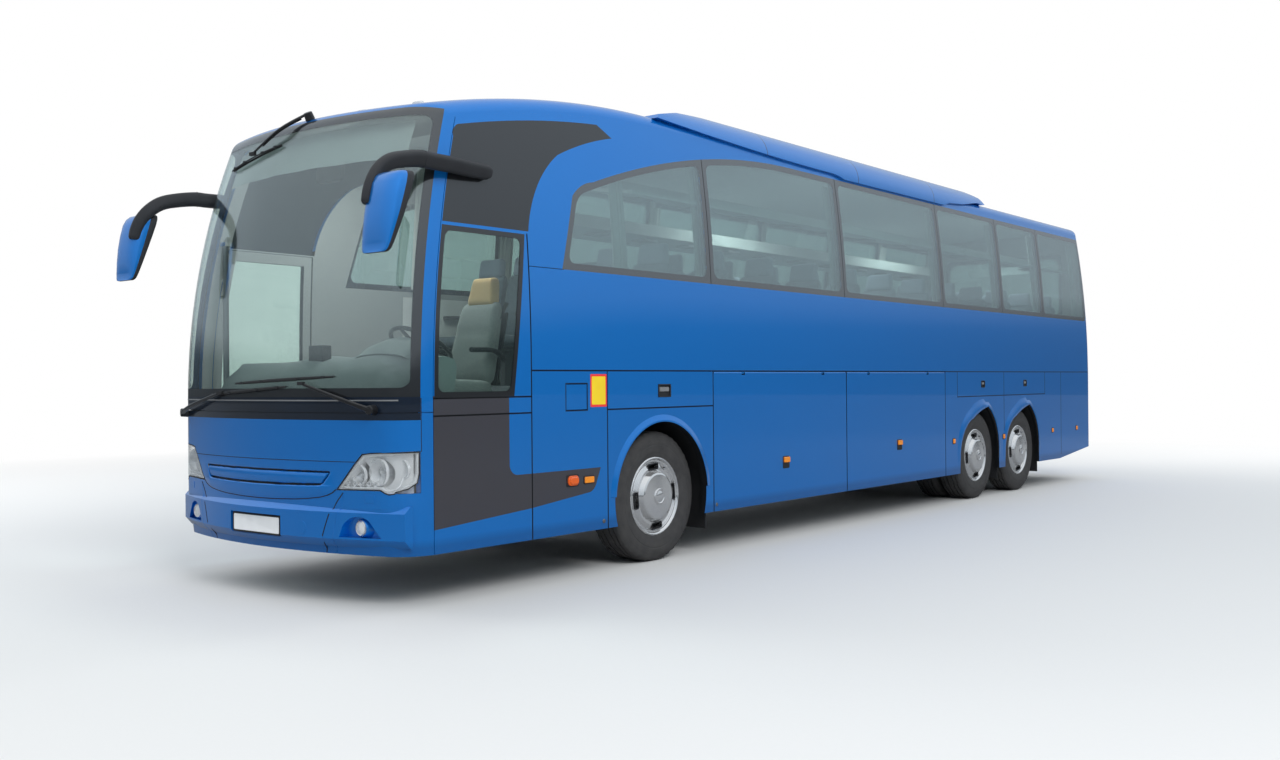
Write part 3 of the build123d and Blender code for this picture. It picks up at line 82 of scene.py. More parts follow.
class Wire:
    """A socket on which plain arithmetic adds Math nodes."""

    def __init__(self, finish, socket):
        self.finish, self.socket = finish, socket

    def maths(self, operation, *others, clamp=False):
        settings = {"operation": operation, "use_clamp": clamp}
        return self.finish.add("ShaderNodeMath", settings, dict(enumerate((self, *others))))

    __add__ = __radd__ = by("ADD")
    __mul__ = __rmul__ = by("MULTIPLY")
    __sub__, __truediv__, __pow__, __abs__ = by("SUBTRACT"), by("DIVIDE"), by("POWER"), by("ABSOLUTE")
    __gt__, __lt__, either, both = by("GREATER_THAN"), by("LESS_THAN"), by("MAXIMUM"), by("MINIMUM")

    def __rsub__(self, other):
        return self.finish.add("ShaderNodeMath", {"operation": "SUBTRACT"}, {0: other, 1: self})

    def between(self, low, high):
        return (self > low) * (self < high)

    def ramp(self, low, high, start=0.0, end=1.0):
        """The value mapped from low..high to start..end, held at both ends."""
        inputs = {"Value": self, "From Min": low, "From Max": high, "To Min": start, "To Max": end}
        return self.finish.add("ShaderNodeMapRange", {}, inputs)


class Finish:
    """A material, or the world, under construction."""

    def __init__(self, name, owners=bpy.data.materials, output="ShaderNodeOutputMaterial"):
        self.owner = owners.new(name)
        self.owner.use_nodes = True
        self.tree = self.owner.node_tree
        self.tree.nodes.clear()
        self.output = self.tree.nodes.new(output)

    def add(self, kind, settings, inputs, output=0):
        """Adds a node: its settings first, then the values or wires of its sockets."""
        node = self.tree.nodes.new(kind)
        for key, value in settings.items():
            if key == "stops":
                ramp = node.color_ramp
                while len(ramp.elements) < len(value):
                    ramp.elements.new(0.5)
                for element, (place, colour) in zip(ramp.elements, value):
                    element.position, element.color = place, (*colour, 1)
            else:
                setattr(node, key, value)
        for key, value in inputs.items():
            socket = node.inputs[key]
            if isinstance(value, Wire):
                self.tree.links.new(value.socket, socket)
            elif isinstance(value, tuple) and len(value) == 3 and socket.type == "RGBA":
                socket.default_value = (*value, 1)
            else:
                socket.default_value = value
        return Wire(self, node.outputs[output])

    def place(self):
        """Position on the object, split into X, Y and Z."""
        where = self.add("ShaderNodeTexCoord", {}, {}, "Object")
        return where, [self.add("ShaderNodeSeparateXYZ", {}, {0: where}, n) for n in range(3)]

    def noise(self, where, scale, detail=2.0, rough=0.5, squash=None):
        if squash:
            where = self.add("ShaderNodeMapping", {}, {"Vector": where, "Scale": squash})
        inputs = {"Vector": where, "Scale": scale, "Detail": detail, "Roughness": rough}
        return self.add("ShaderNodeTexNoise", {}, inputs, "Fac")

    def mix(self, share, one, other):
        return self.add("ShaderNodeMix", {"data_type": "RGBA"}, {0: share, 6: one, 7: other}, 2)

    def bump(self, height, strength, distance=0.001):
        return self.add("ShaderNodeBump", {}, {"Height": height, "Strength": strength,
                                               "Distance": distance})

    def principled(self, **inputs):
        named = {key.replace("_", " "): value for key, value in inputs.items()}
        return self.add("ShaderNodeBsdfPrincipled", {}, named)

    def done(self, shader):
        self.tree.links.new(shader.socket, self.output.inputs["Surface"])
        return self.owner


# ---------- finishes

BLUE = (0.001, 0.205, 0.680)
SKIRT_SHADE_BLUE = (0.0006, 0.090, 0.330)   # painted shade low on the skirt, standing in for its turn inwards above the lower edge
LINING_GREY = (0.30, 0.315, 0.31)
EDGE_BLACK = (0.004, 0.005, 0.007)
GREY_FILM = (0.074, 0.064, 0.063)
BAND_BLACK = (0.010, 0.011, 0.014)
BAND_LOW_Z = 1.196


def lacquer(finish, where, colour, dull):
    """Metallic paint under clear coat: fine flakes and slight clouding."""
    flakes = finish.noise(where, 900, 1)
    clouds = finish.noise(where, 1.3, 2)
    sparkle = flakes.ramp(0.45, 0.75) * 0.3 + clouds * 0.2
    bright = finish.mix(0.3, colour, (0.02, 0.34, 0.95))
    tone = finish.mix((sparkle * (1.0 - dull)).maths("MULTIPLY", 0.5, clamp=True), colour, bright)
    return finish.principled(
        Base_Color=tone,
        Metallic=(1.0 - dull) * 0.5,
        Roughness=0.27 + flakes * 0.06 + dull * 0.4,
        Coat_Weight=1.0 - dull,
        Coat_Roughness=0.012,
        Coat_IOR=1.5,
    )


UPRIGHT_SEAMS = (
    # distance behind the nose, low, high
    (1.335, 0.335, 2.458), (2.150, 0.335, 1.510), (3.520, 0.335, 1.510), (5.790, 0.335, 1.510),
    (8.060, 0.335, 1.510),
    (8.385, 1.221, 1.510), (9.760, 0.560, 1.510), (11.152, 1.221, 1.510), (11.755, 0.400, 1.510),
)
LEVEL_SEAMS = (
    # start and end behind the nose, height
    (0.430, 1.335, 1.217), (0.430, 1.335, 1.330), (1.335, 12.850, 1.511), (2.150, 3.520, 1.221),
    (8.385, 11.152, 1.221),
)
FUEL_FLAP = (1.690, 1.922, 1.222, 1.416)   # front, rear, low, high


def seam_shade(x, d, z):
    """1 along the joints of the side panels, fading out within a few millimetres."""
    start, end, low, high = FUEL_FLAP
    beyond = (start - d).either(d - end).either((low - z).either(z - high))
    nearest = abs(beyond).either(0.0 - x)
    for at, low, high in UPRIGHT_SEAMS:
        nearest = nearest.both(abs(d - at).either(low - z).either(z - high))
    for start, end, height in LEVEL_SEAMS:
        nearest = nearest.both(abs(z - height).either(start - d).either(d - end))
    return nearest.ramp(0.0045, 0.0085, 1.0, 0.0)


def paint(name="metallic_blue", marked=None, film=GREY_FILM, lined=False, edged=False):
    """Body paint; marked says where the dark film or band goes, lined trims the inner faces in grey."""
    f = Finish(name)
    where, (x, y, z) = f.place()
    # Below about 0.44 m every painted part blends part way towards a darker blue: painted shade for the
    # skirt's turn inwards.
    colour, dull = f.mix(z.ramp(0.385, 0.440, 0.55, 0.0), BLUE, SKIRT_SHADE_BLUE), 0.0
    if marked:
        colour = f.mix(marked(f, x, y - NOSE, z), colour, film)
    if lined:
        facing = f.add("ShaderNodeTexCoord", {}, {}, "Normal")
        nx, ny, nz = (f.add("ShaderNodeSeparateXYZ", {}, {0: facing}, n) for n in range(3))
        beyond = y - y.either(-5.2).both(5.8)
        outward = x * nx + beyond * ny + (z - 2.0).either(0.0) * nz
        dull = outward < -0.1
        grain = f.noise(where, 140, 3).ramp(0.3, 0.7, 0.85, 1.1)
        cloth = f.mix(grain.maths("SUBTRACT", 0.85, clamp=True), LINING_GREY,
                      tuple(1.25 * c for c in LINING_GREY))
        colour = f.mix(dull, colour, cloth)
        if edged:
            # Edge faces in the panel gaps and a soft band along each joint go black: dark joints, widened
            # by painted shade where the rounded panel edges turn into the gaps.
            edge = ((abs(outward) < 0.1) * (abs(nx) < 0.2)
                    * (x * x > 1.2)).either(seam_shade(x, y - NOSE, z) * 0.92)
            colour = f.mix(edge, colour, EDGE_BLACK)
            dull = dull.either(edge)
    return f.done(lacquer(f, where, colour, dull))


def rake_wire(z):
    """How far the windscreen has leant back at a height."""
    bow = 5.68
    rise = (z - 1.3).either(0.0)
    return bow - (bow**2 - rise * rise) ** 0.5


def side_film(f, x, d, z):
    """Dark film on the lower cab side: an upright field, a band below the glass and a tail with a tip."""
    low_line = (0.459 + d * 0.0718).either(0.415 + d * 0.105)
    field = (d < 1.115) * (z < 1.345)
    foot = z < 0.795
    corner = (d < 1.191) * (z < 0.871)
    dx, dz = d - 1.191, z - 0.871
    cut = (dx * dx + dz * dz) ** 0.5 > 0.076
    tip = d < (2.065 - (0.788 - z) * 0.44)
    back_corner = (d > 1.935) * (z < 0.677)
    ex, ez = d - 1.9245, z - 0.7176
    rounded_off = back_corner * ((ex * ex + ez * ez) ** 0.5 > 0.100)
    return (z > low_line) * (d > 0.42) * tip * field.either(foot).either(corner * cut) * (rounded_off < 0.5)


def mask_band(f, x, d, z):
    """Black band between the painted mask and the windscreen."""
    return (z > BAND_LOW_Z) * (d < 0.335)


def fairing_joints(f, x, d, z):
    """Joints across the roof fairing."""
    nearest = abs(d - 4.55).both(abs(d - 6.25)).both(abs(d - 8.02))
    return nearest.ramp(0.003, 0.007, 1.0, 0.0)


def plastic(name, colour, rough=0.45, grain=420, depth=0.25, coat=0.0):
    """Moulded plastic with a fine grain."""
    f = Finish(name)
    where, _ = f.place()
    speck = f.noise(where, grain, 3)
    cloud = f.noise(where, 6, 2)
    tone = f.mix(cloud, colour, tuple(min(1, c * 1.35 + 0.004) for c in colour))
    shader = f.principled(Base_Color=tone, Roughness=rough + speck * 0.12, Coat_Weight=coat,
                          Coat_Roughness=0.08, Normal=f.bump(speck, depth, 0.0006))
    return f.done(shader)


def metal(name, colour, rough=0.2, brushed=(1, 1, 1), grain=60, depth=0.1, share=1.0):
    """Metal with fine streaks."""
    f = Finish(name)
    where, _ = f.place()
    streaks = f.noise(where, grain, 3, 0.6, brushed)
    tone = f.mix(streaks, tuple(c * 0.86 for c in colour), colour)
    shader = f.principled(Base_Color=tone, Metallic=share, Roughness=rough + streaks * 0.10,
                          Normal=f.bump(streaks, depth, 0.0004))
    return f.done(shader)


def glass(name, tint, density, frit=None, see_through=(0.82, 0.92, 0.89), film=(0.010, 0.011, 0.013),
          shine=0.045):
    """A tinted pane: light through it, a mirror image on it, and a dark printed border where frit says."""
    f = Finish(name)
    where, (x, y, z) = f.place()
    tilt = f.add("ShaderNodeLayerWeight", {}, {"Blend": 0.5}, "Facing")
    facing = tilt ** 5.0 * 0.85 + shine
    dust = f.noise(where, 3, 4)
    opacity = dust * 0.05 + density
    colour = tint
    if frit:
        border = frit(f, x, y, z)
        colour = f.mix(border, tint, film)
        opacity = border.either(opacity)
    body = f.principled(Base_Color=colour, Roughness=dust * 0.1 + 0.25)
    clear = f.add("ShaderNodeBsdfTransparent", {}, {"Color": see_through})
    pane = f.add("ShaderNodeMixShader", {}, {0: opacity, 1: clear, 2: body})
    image = f.add("ShaderNodeBsdfGlossy", {}, {"Color": (0.95, 0.98, 1.0),
                                               "Roughness": dust * 0.01 + 0.003})
    return f.done(f.add("ShaderNodeMixShader", {}, {0: facing, 1: pane, 2: image}))


def rounded_border(across, along, width, radius):
    """1 in a border of a width inside a pane's edges, with rounded inner corners."""
    a = (radius - (across - width)).either(0.0)
    b = (radius - (along - width)).either(0.0)
    return (a * a + b * b) > radius * radius


def band_frit(f, x, y, z):
    """Printed border of the saloon panes and of the rear window."""
    d = y - NOSE
    across = abs(y - WINDOW_JOINTS[0])
    for joint in WINDOW_JOINTS[1:]:
        across = across.both(abs(y - joint))
    front = (d - 1.68 - (z - SILL_Z) * 0.288).both(6.403 - y)
    reach, bow = (4.95 - d).either(0.0), 8.6
    top = (bow**2 - reach * reach) ** 0.5 - bow + WINDOW_TOP_Z - z
    side = rounded_border(across.both(front), top.both(z - SILL_Z), 0.052, 0.07)
    rear = rounded_border(0.9 - abs(x), (3.23 - z).both(z - 2.27), 0.06, 0.12)
    return f.add("ShaderNodeMix", {"data_type": "FLOAT"}, {0: y > 6.42, 2: side, 3: rear}, 0)


def screen_frit(f, x, y, z):
    edge = 0.335 + rake_wire(z) - (y - NOSE)
    return rounded_border(edge, (SCREEN_TOP_Z - z).both(z - SCREEN_LOW_Z), 0.058, 0.06)


def cab_frit(f, x, y, z):
    """Frame of the driver's window and the dark film of the pane above it."""
    d = y - NOSE
    front = d - 0.442 - rake_wire(z)
    rear = 1.165 + (z - 1.335) * 0.131 - d
    low = rounded_border(front.both(rear), (2.458 - z).both(z - 1.335), 0.035, 0.05)
    return (z > 2.47).either(low)


def tyre_rubber():
    """Grey rubber with fine moulded rings on the sidewall and a brushed tread."""
    f = Finish("tyre_rubber")
    where, (x, y, z) = f.place()
    along = abs(y - FRONT_AXLE).both(abs(y - DRIVE_AXLE)).both(abs(y - TAG_AXLE))
    up = z - AXLE_Z
    radius = (along * along + up * up) ** 0.5
    rings = (radius * 900).maths("SINE") * radius.between(0.31, 0.46)
    bands = radius.between(0.345, 0.352) + radius.between(0.428, 0.434)
    grime = f.noise(where, 14, 4)
    fine = f.noise(where, 260, 2)
    tone = f.mix(grime, (0.026, 0.026, 0.028), (0.075, 0.072, 0.070))
    relief = fine * 0.5 + rings * 0.35 + bands * 1.5
    return f.done(f.principled(Base_Color=tone, Roughness=0.58 + grime * 0.2,
                               Normal=f.bump(relief, 0.5, 0.0012)))


def fabric(name, colour, second, scale=1.0):
    """Woven cover with a fine cross weave and worn tone."""
    f = Finish(name)
    where, (x, y, z) = f.place()
    warp = ((x + y) * (900 * scale)).maths("SINE")
    weft = (z * (900 * scale)).maths("SINE")
    weave = warp * weft * 0.5 + 0.5
    worn = f.noise(where, 9, 3)
    specks = f.noise(where, 130, 2).ramp(0.5, 0.56)
    tone = f.mix(worn * 0.4, colour, tuple(c * 1.5 for c in colour))
    tone = f.mix(specks * 0.55, tone, second)
    return f.done(f.principled(Base_Color=tone, Roughness=0.85, Sheen_Weight=0.3,
                               Normal=f.bump(weave, 0.35, 0.0008)))


def lamp_plastic(name, colour, glow=0.0):
    """Coloured lamp lens with moulded prisms."""
    f = Finish(name)
    where, (x, y, z) = f.place()
    prisms = (z * 900).maths("SINE") * ((x + y) * 900).maths("SINE") * 0.5 + 0.5
    deep = f.mix(prisms, tuple(c * 0.7 for c in colour), colour)
    return f.done(f.principled(Base_Color=deep, Roughness=0.12, Coat_Weight=1.0, Emission_Color=deep,
                               Emission_Strength=glow, Normal=f.bump(prisms, 0.4, 0.001)))


PAINT = paint()
PAINT_SIDE = paint("metallic_blue_side", side_film, lined=True, edged=True)
PAINT_PANEL = paint("metallic_blue_panel", lined=True, edged=True)
PAINT_SHELL = paint("metallic_blue_shell", lined=True)
PAINT_MASK = paint("metallic_blue_mask", mask_band, BAND_BLACK, lined=True)
PAINT_FAIRING = paint("metallic_blue_fairing", fairing_joints, EDGE_BLACK)
PILLAR_GLASS = glass("saloon_pane", (0.22, 0.33, 0.36), 0.17, band_frit, (0.70, 0.82, 0.80), shine=0.23)
SCREEN_GLASS = glass("windscreen_pane", (0.20, 0.27, 0.26), 0.02, screen_frit, (0.93, 0.985, 0.965),
                     shine=0.13)
CAB_GLASS = glass("cab_pane", (0.08, 0.11, 0.11), 0.03, cab_frit, (0.86, 0.95, 0.92), shine=0.07)
DOOR_GLASS = glass("door_pane", (0.08, 0.11, 0.11), 0.05, None, (0.80, 0.90, 0.87))
LAMP_GLASS = glass("lamp_cover", (0.8, 0.8, 0.8), 0.0, None, (0.985, 0.99, 0.99))
BLACK = plastic("black_plastic", (0.014, 0.0145, 0.016), 0.5)
SATIN_BLACK = plastic("satin_black", (0.007, 0.007, 0.008), 0.26, 90, 0.05, 0.4)
GREY_TRIM = plastic("grey_trim", (0.16, 0.165, 0.17), 0.55)
DASH_GREY = plastic("dash_grey", (0.16, 0.185, 0.185), 0.6, 300, 0.4)
RUBBER = plastic("seal_rubber", (0.012, 0.012, 0.012), 0.7, 200, 0.3)
FLOOR_GREY = plastic("floor_covering", (0.13, 0.14, 0.15), 0.65, 160, 0.4)
LINING = plastic("wall_lining", (0.50, 0.51, 0.50), 0.75, 260, 0.4)
CHASSIS = plastic("chassis_paint", (0.022, 0.022, 0.023), 0.55, 120, 0.4)
CHROME = metal("polished_trim", (0.92, 0.92, 0.92), 0.04, grain=8, depth=0.02, share=0.82)
STEEL = metal("worn_steel", (0.42, 0.42, 0.43), 0.35, (1, 6, 1))
IRON = metal("cast_iron", (0.13, 0.13, 0.135), 0.6, grain=90, depth=0.6)
TYRE = tyre_rubber()
SEAT_CLOTH = fabric("seat_cloth", (0.07, 0.085, 0.10), (0.16, 0.20, 0.25))
CREW_CLOTH = fabric("driver_seat_cloth", (0.16, 0.17, 0.17), (0.28, 0.28, 0.27))
HEAD_CLOTH = fabric("headrest_cover", (0.55, 0.33, 0.14), (0.62, 0.42, 0.22))
CURTAIN = fabric("curtain_cloth", (0.42, 0.45, 0.42), (0.5, 0.52, 0.5), 0.6)
AMBER = lamp_plastic("amber_lens", (0.85, 0.26, 0.01), 0.25)
ORANGE = lamp_plastic("orange_lens", (0.78, 0.115, 0.008), 0.18)
RED = lamp_plastic("red_lens", (0.5, 0.012, 0.012), 0.15)
CLEAR_LENS = lamp_plastic("clear_lens", (0.78, 0.80, 0.82), 0.05)
WHITE_PLATE = plastic("plate_white", (0.78, 0.79, 0.79), 0.35, 60, 0.05, 0.4)
YELLOW = plastic("sign_yellow", (0.84, 0.55, 0.01), 0.4, 60, 0.05, 0.3)
SIGN_RED = plastic("sign_red", (0.72, 0.03, 0.03), 0.4, 60, 0.05, 0.3)

BLACK_SOFT = plastic("soft_black", (0.017, 0.018, 0.021), 0.42, 240, 0.12)
SATIN_SILVER = metal("satin_silver", (0.86, 0.87, 0.88), 0.30, grain=30, depth=0.02, share=0.35)
BOWL = metal("lamp_bowl", (0.95, 0.96, 0.97), 0.16, grain=20, depth=0.02, share=0.5)
MIRROR = metal("mirror_glass", (0.88, 0.90, 0.91), 0.01, grain=4, depth=0.0)
HEADREST = fabric("headrest_cloth", (0.16, 0.19, 0.24), (0.30, 0.33, 0.38))
SEAT_SHELL = plastic("seat_shell", (0.05, 0.052, 0.056), 0.5, 200, 0.2)
BLIND = fabric("blind_cloth", (0.30, 0.33, 0.33), (0.36, 0.38, 0.38), 0.5)

FINISH_OF = {name: finish for finish, names in (
    (PAINT_SIDE, "side_wall_left side_wall_right front_door"),
    (PAINT_PANEL, "mid_door fuel_flap flap_left_front flap_left_rear flap_right_front flap_right_rear"),
    (PAINT_SHELL, "roof front_cap rear_wall engine_lid"),
    (PAINT_MASK, "front_mask"),
    (PAINT_FAIRING, "roof_pod"),
    (PILLAR_GLASS, "saloon_glass"),
    (SCREEN_GLASS, "windscreen"),
    (CAB_GLASS, "cab_glass"),
    (DOOR_GLASS, "front_door_glass mid_door_glass"),
    (LAMP_GLASS, "headlamps"),
    (SATIN_SILVER, "lamp_bowls fog_lamps"),
    (RED, "tail_lamps"),
    (BLACK, "mirrors arch_liners wipers"),
    (DASH_GREY, "dashboard"),
    (FLOOR_GREY, "cabin_floor"),
    (GREY_TRIM, "luggage_bay"),
    (LINING, "luggage_racks"),
    (CHASSIS, "chassis_rails axle_beams"),
    (STEEL, "knuckle_left knuckle_right front_door_arms mid_door_arms"),
    (IRON, "engine_block"),
    (SEAT_CLOTH, "passenger_seats"),
    (CREW_CLOTH, "crew_seats"),
) for name in names.split()}
SLOT_OF = {finish.name: slot for slot, finishes in {
    "body_paint": (PAINT,),
    "tyre": (TYRE,),
    "rubber": (RUBBER,),
    "steel": (STEEL,),
    "rim_chrome": (CHROME, SATIN_SILVER, BOWL, MIRROR),
    "dark_plastic": (BLACK, BLACK_SOFT, SATIN_BLACK, GREY_TRIM, DASH_GREY, LINING, SEAT_SHELL),
    "lamp_glass": (CLEAR_LENS, WHITE_PLATE),
    "red_lamp": (AMBER, ORANGE, RED, SIGN_RED),
    "seat_fabric": (SEAT_CLOTH, CREW_CLOTH, HEAD_CLOTH, HEADREST, CURTAIN, BLIND),
}.items() for finish in finishes}
for node_name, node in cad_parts.items():
    if node_name.startswith("tyre_"):
        finish = TYRE
    elif node_name.startswith("wheel_"):
        finish = CHROME
    else:
        finish = FINISH_OF.get(node_name, PAINT)
    node.data.materials.clear()
    node.data.materials.append(finish)


# ---------- building helpers


class Surface:
    """The outside of some CAD nodes, found by casting a line at them."""

    def __init__(self, *names):
        verts, faces = [], []
        for name in names:
            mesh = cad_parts[name].data
            base = len(verts)
            verts += [v.co.copy() for v in mesh.vertices]
            faces += [[base + i for i in p.vertices] for p in mesh.polygons]
        self.tree = BVHTree.FromPolygons(verts, faces)

    def cast(self, start, way):
        place, normal, _, _ = self.tree.ray_cast(Vector(start), Vector(way))
        if place is None:
            raise ValueError("no surface at " + str(tuple(start)))
        return place, normal if normal.dot(Vector(way)) < 0 else -normal

    def side(self, side):
        return lambda y, z: self.cast((side * 3, y, z), (-side, 0, 0))

    def front(self, x, z):
        return self.cast((x, -9, z), (0, 1, 0))

    def back(self, x, z):
        return self.cast((x, 9, z), (0, -1, 0))

    def top(self, x, y):
        return self.cast((x, y, 6), (0, 0, -1))


WALLS = Surface("side_wall_left", "side_wall_right", "flap_left_front", "flap_left_rear",
                "flap_right_front", "flap_right_rear", "saloon_glass", "cab_glass", "front_cap",
                "front_door", "mid_door", "fuel_flap", "front_door_glass", "mid_door_glass", "front_mask",
                "front_bumper", "headlamps")
NOSE_FACE = Surface("front_mask", "front_bumper", "grille", "windscreen", "front_cap", "headlamps")
TAIL_FACE = Surface("rear_wall", "engine_lid", "tail_lamps", "saloon_glass", "side_wall_left",
                    "side_wall_right")
ROOF_FACE = Surface("roof", "roof_pod", "front_cap", "rear_wall")


def flowing(points, steps=6):
    """A smooth line through the points."""
    points = [Vector(p) for p in points]
    ends = [points[0] * 2 - points[1], *points, points[-1] * 2 - points[-2]]
    line = []
    for a, b, c, d in zip(ends, ends[1:], ends[2:], ends[3:]):
        for n in range(steps):
            t = n / steps
            line.append(0.5 * (2 * b + (c - a) * t + (2 * a - 5 * b + 4 * c - d) * t**2
                               + (3 * b - 3 * c + d - a) * t**3))
    return line + [points[-1]]


class Shape:
    """Gathers the faces of one piece, each marked with the finish that it takes."""

    def __init__(self):
        self.verts, self.faces, self.marks = [], [], []

    def take(self, verts, faces, mark=0):
        base = len(self.verts)
        self.verts += [Vector(v) for v in verts]
        self.faces += [[base + i for i in face] for face in faces]
        self.marks += [mark] * len(faces)

    def rings(self, rings, mark=0, loop=True, caps=True):
        """Skins a row of rings that have the same number of points."""
        count = len(rings[0])
        faces = []
        for n in range(len(rings) - 1):
            for i in range(count if loop else count - 1):
                j = (i + 1) % count
                faces.append((n * count + i, n * count + j, (n + 1) * count + j, (n + 1) * count + i))
        if caps and loop:
            faces.append(list(range(count))[::-1])
            faces.append([(len(rings) - 1) * count + i for i in range(count)])
        self.take([p for ring in rings for p in ring], faces, mark)

    def lathe(self, profile, centre, axis="X", way=1, count=48, mark=0):
        """Turns a profile of (along, radius) about an axis through the centre."""
        rings = []
        for n in range(count):
            a = 2 * math.pi * n / count
            ring = []
            for along, radius in profile:
                u, v, w = way * along, radius * math.cos(a), radius * math.sin(a)
                ring.append(Vector(centre) + Vector((u, v, w) if axis == "X" else (v, u, w)))
            rings.append(ring)
        rings.append(rings[0])
        self.rings(rings, mark, loop=False, caps=False)

    def block(self, low, high, mark=0, lean=0.0):
        """A box whose top is moved along Y by the lean."""
        (x0, y0, z0), (x1, y1, z1) = low, high
        verts = [(x, y + (lean if z == z1 else 0), z) for x in (x0, x1) for y in (y0, y1) for z in (z0, z1)]
        faces = [(0, 1, 3, 2), (4, 6, 7, 5), (0, 4, 5, 1), (2, 3, 7, 6), (0, 2, 6, 4), (1, 5, 7, 3)]
        self.take(verts, faces, mark)

    def sweep(self, line, section, mark=0, up=(0, 0, 1), closed=False, caps=True):
        """Carries a section along a line; the section gives (sideways, upwards) for a share of the way."""
        line = [Vector(p) for p in line]
        rings = []
        for n, place in enumerate(line):
            if closed:
                ahead = line[(n + 1) % len(line)] - line[n - 1]
            else:
                ahead = line[min(n + 1, len(line) - 1)] - line[max(n - 1, 0)]
            ahead.normalize()
            above = up(n) if callable(up) else Vector(up)
            across = ahead.cross(above).normalized()
            above = across.cross(ahead)
            shape = section(n / (len(line) - 1)) if callable(section) else section
            rings.append([place + across * u + above * v for u, v in shape])
        if closed:
            rings.append(rings[0])
        self.rings(rings, mark, caps=caps and not closed)

    def plate(self, outline, cast, low, high, mark=0, shrink=0.0):
        """A plate that lies on a surface, with its outline given in the view's plane."""
        count = len(outline)
        middle = (sum(p[0] for p in outline) / count, sum(p[1] for p in outline) / count)
        rings = []
        for level, pull in ((low, 0.0), (high - shrink, 0.0), (high, shrink)):
            ring = []
            for u, v in outline:
                place, normal = cast(u, v)
                if pull:
                    inward = Vector(cast(middle[0], middle[1])[0]) - place
                    place = place + inward.normalized() * pull
                ring.append(place + normal * level)
            rings.append(ring)
        self.rings(rings, mark)

    def piece(self, name, finishes, body="coach", slot=None, replaces=(), bevel=0.0, angle=32):
        """Makes the mesh; the slot that it hands on is that of its first finish unless another is given."""
        finishes = finishes if isinstance(finishes, tuple) else (finishes,)
        data = bpy.data.meshes.new(name)
        data.from_pydata([tuple(v) for v in self.verts], [], self.faces)
        for finish in finishes:
            data.materials.append(finish)
        data.polygons.foreach_set("material_index", self.marks)
        tidy_mesh(data, angle)
        return placed(name, data, body, slot or SLOT_OF[finishes[0].name], replaces, bevel, angle)


def lathed(name, finishes, profile, centre, axis="X", way=1, count=48, **more):
    """A piece of one turned profile."""
    shape = Shape()
    shape.lathe(profile, centre, axis, way, count)
    return shape.piece(name, finishes, **more)


def skinned(name, finishes, rings, loop=True, caps=True, **more):
    """A piece of one row of rings."""
    shape = Shape()
    shape.rings(rings, loop=loop, caps=caps)
    return shape.piece(name, finishes, **more)


def placed(name, data, body, slot, replaces=(), bevel=0.0, angle=30):
    """An object for a mesh, with its body, the nodes that it replaces and rounded edges. The slot argument
    is not used.
    """
    thing = bpy.data.objects.new(name, data)
    scene.collection.objects.link(thing)
    if bevel:
        edge = thing.modifiers.new("edge", "BEVEL")
        edge.width, edge.segments = bevel, 2
        edge.limit_method, edge.angle_limit = "ANGLE", math.radians(angle)
    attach(thing, body)
    if replaces:
        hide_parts(*replaces)
    return thing


def thickened(thing, thickness):
    thing.modifiers.new("thick", "SOLIDIFY").thickness = thickness
    return thing


def tidy_mesh(data, angle):
    """Merges points, turns faces outwards, and keeps only edges that are sharper than the angle crisp."""
    mesh = bmesh.new()
    mesh.from_mesh(data)
    bmesh.ops.remove_doubles(mesh, verts=mesh.verts, dist=1e-6)
    bmesh.ops.recalc_face_normals(mesh, faces=mesh.faces)
    limit = math.radians(angle)
    for face in mesh.faces:
        face.smooth = True
    for edge in mesh.edges:
        edge.smooth = len(edge.link_faces) == 2 and edge.calc_face_angle(0) < limit
    mesh.to_mesh(data)
    mesh.free()


def ring_of(radius, count, flat=1.0):
    return [(radius * math.cos(2 * math.pi * n / count), flat * radius * math.sin(2 * math.pi * n / count))
            for n in range(count)]


def rounded(width, height, radius, steps=4):
    """Outline of a rounded rectangle about its middle."""
    points = []
    for sx, sy, start in ((1, 1, 0), (-1, 1, 90), (-1, -1, 180), (1, -1, 270)):
        for n in range(steps + 1):
            a = math.radians(start + 90 * n / steps)
            points.append((sx * (width / 2 - radius) + radius * math.cos(a),
                           sy * (height / 2 - radius) + radius * math.sin(a)))
    return points


def shifted(outline, u, v):
    return [(u + a, v + b) for a, b in outline]


# ---------- tyres and wheel trims

WHEELS = (
    # name, side, axle, centre planes from the outer tyre inwards
    ("front_left", 1, FRONT_AXLE, (1.060,)),
    ("front_right", -1, FRONT_AXLE, (1.060,)),
    ("drive_left", 1, DRIVE_AXLE, (1.077, 0.752)),
    ("drive_right", -1, DRIVE_AXLE, (1.077, 0.752)),
    ("tag_left", 1, TAG_AXLE, (1.077,)),
    ("tag_right", -1, TAG_AXLE, (1.077,)),
)
TYRE_HALF = (
    # millimetres from the tyre's middle plane and from its axis, from the bead to the tread
    (98, 287), (105, 289), (110, 296), (116, 300), (117, 306), (123, 312), (130, 326), (131, 331),
    (135, 342), (139, 356), (142, 372), (144, 388), (144.6, 400), (144.6, 404), (142.8, 406),
    (142.8, 414), (144.2, 416), (143.4, 430), (141.8, 446), (139.6, 458), (137.6, 462), (137, 467),
    (134, 478), (130, 488), (125, 497), (120, 504), (117, 508.5), (113, 512), (104, 514.6), (84, 515.8),
    (82, 502), (73, 502), (71, 515.9), (38, 516), (36, 501), (27, 501), (25, 516),
)
TREAD_STEPS = 132


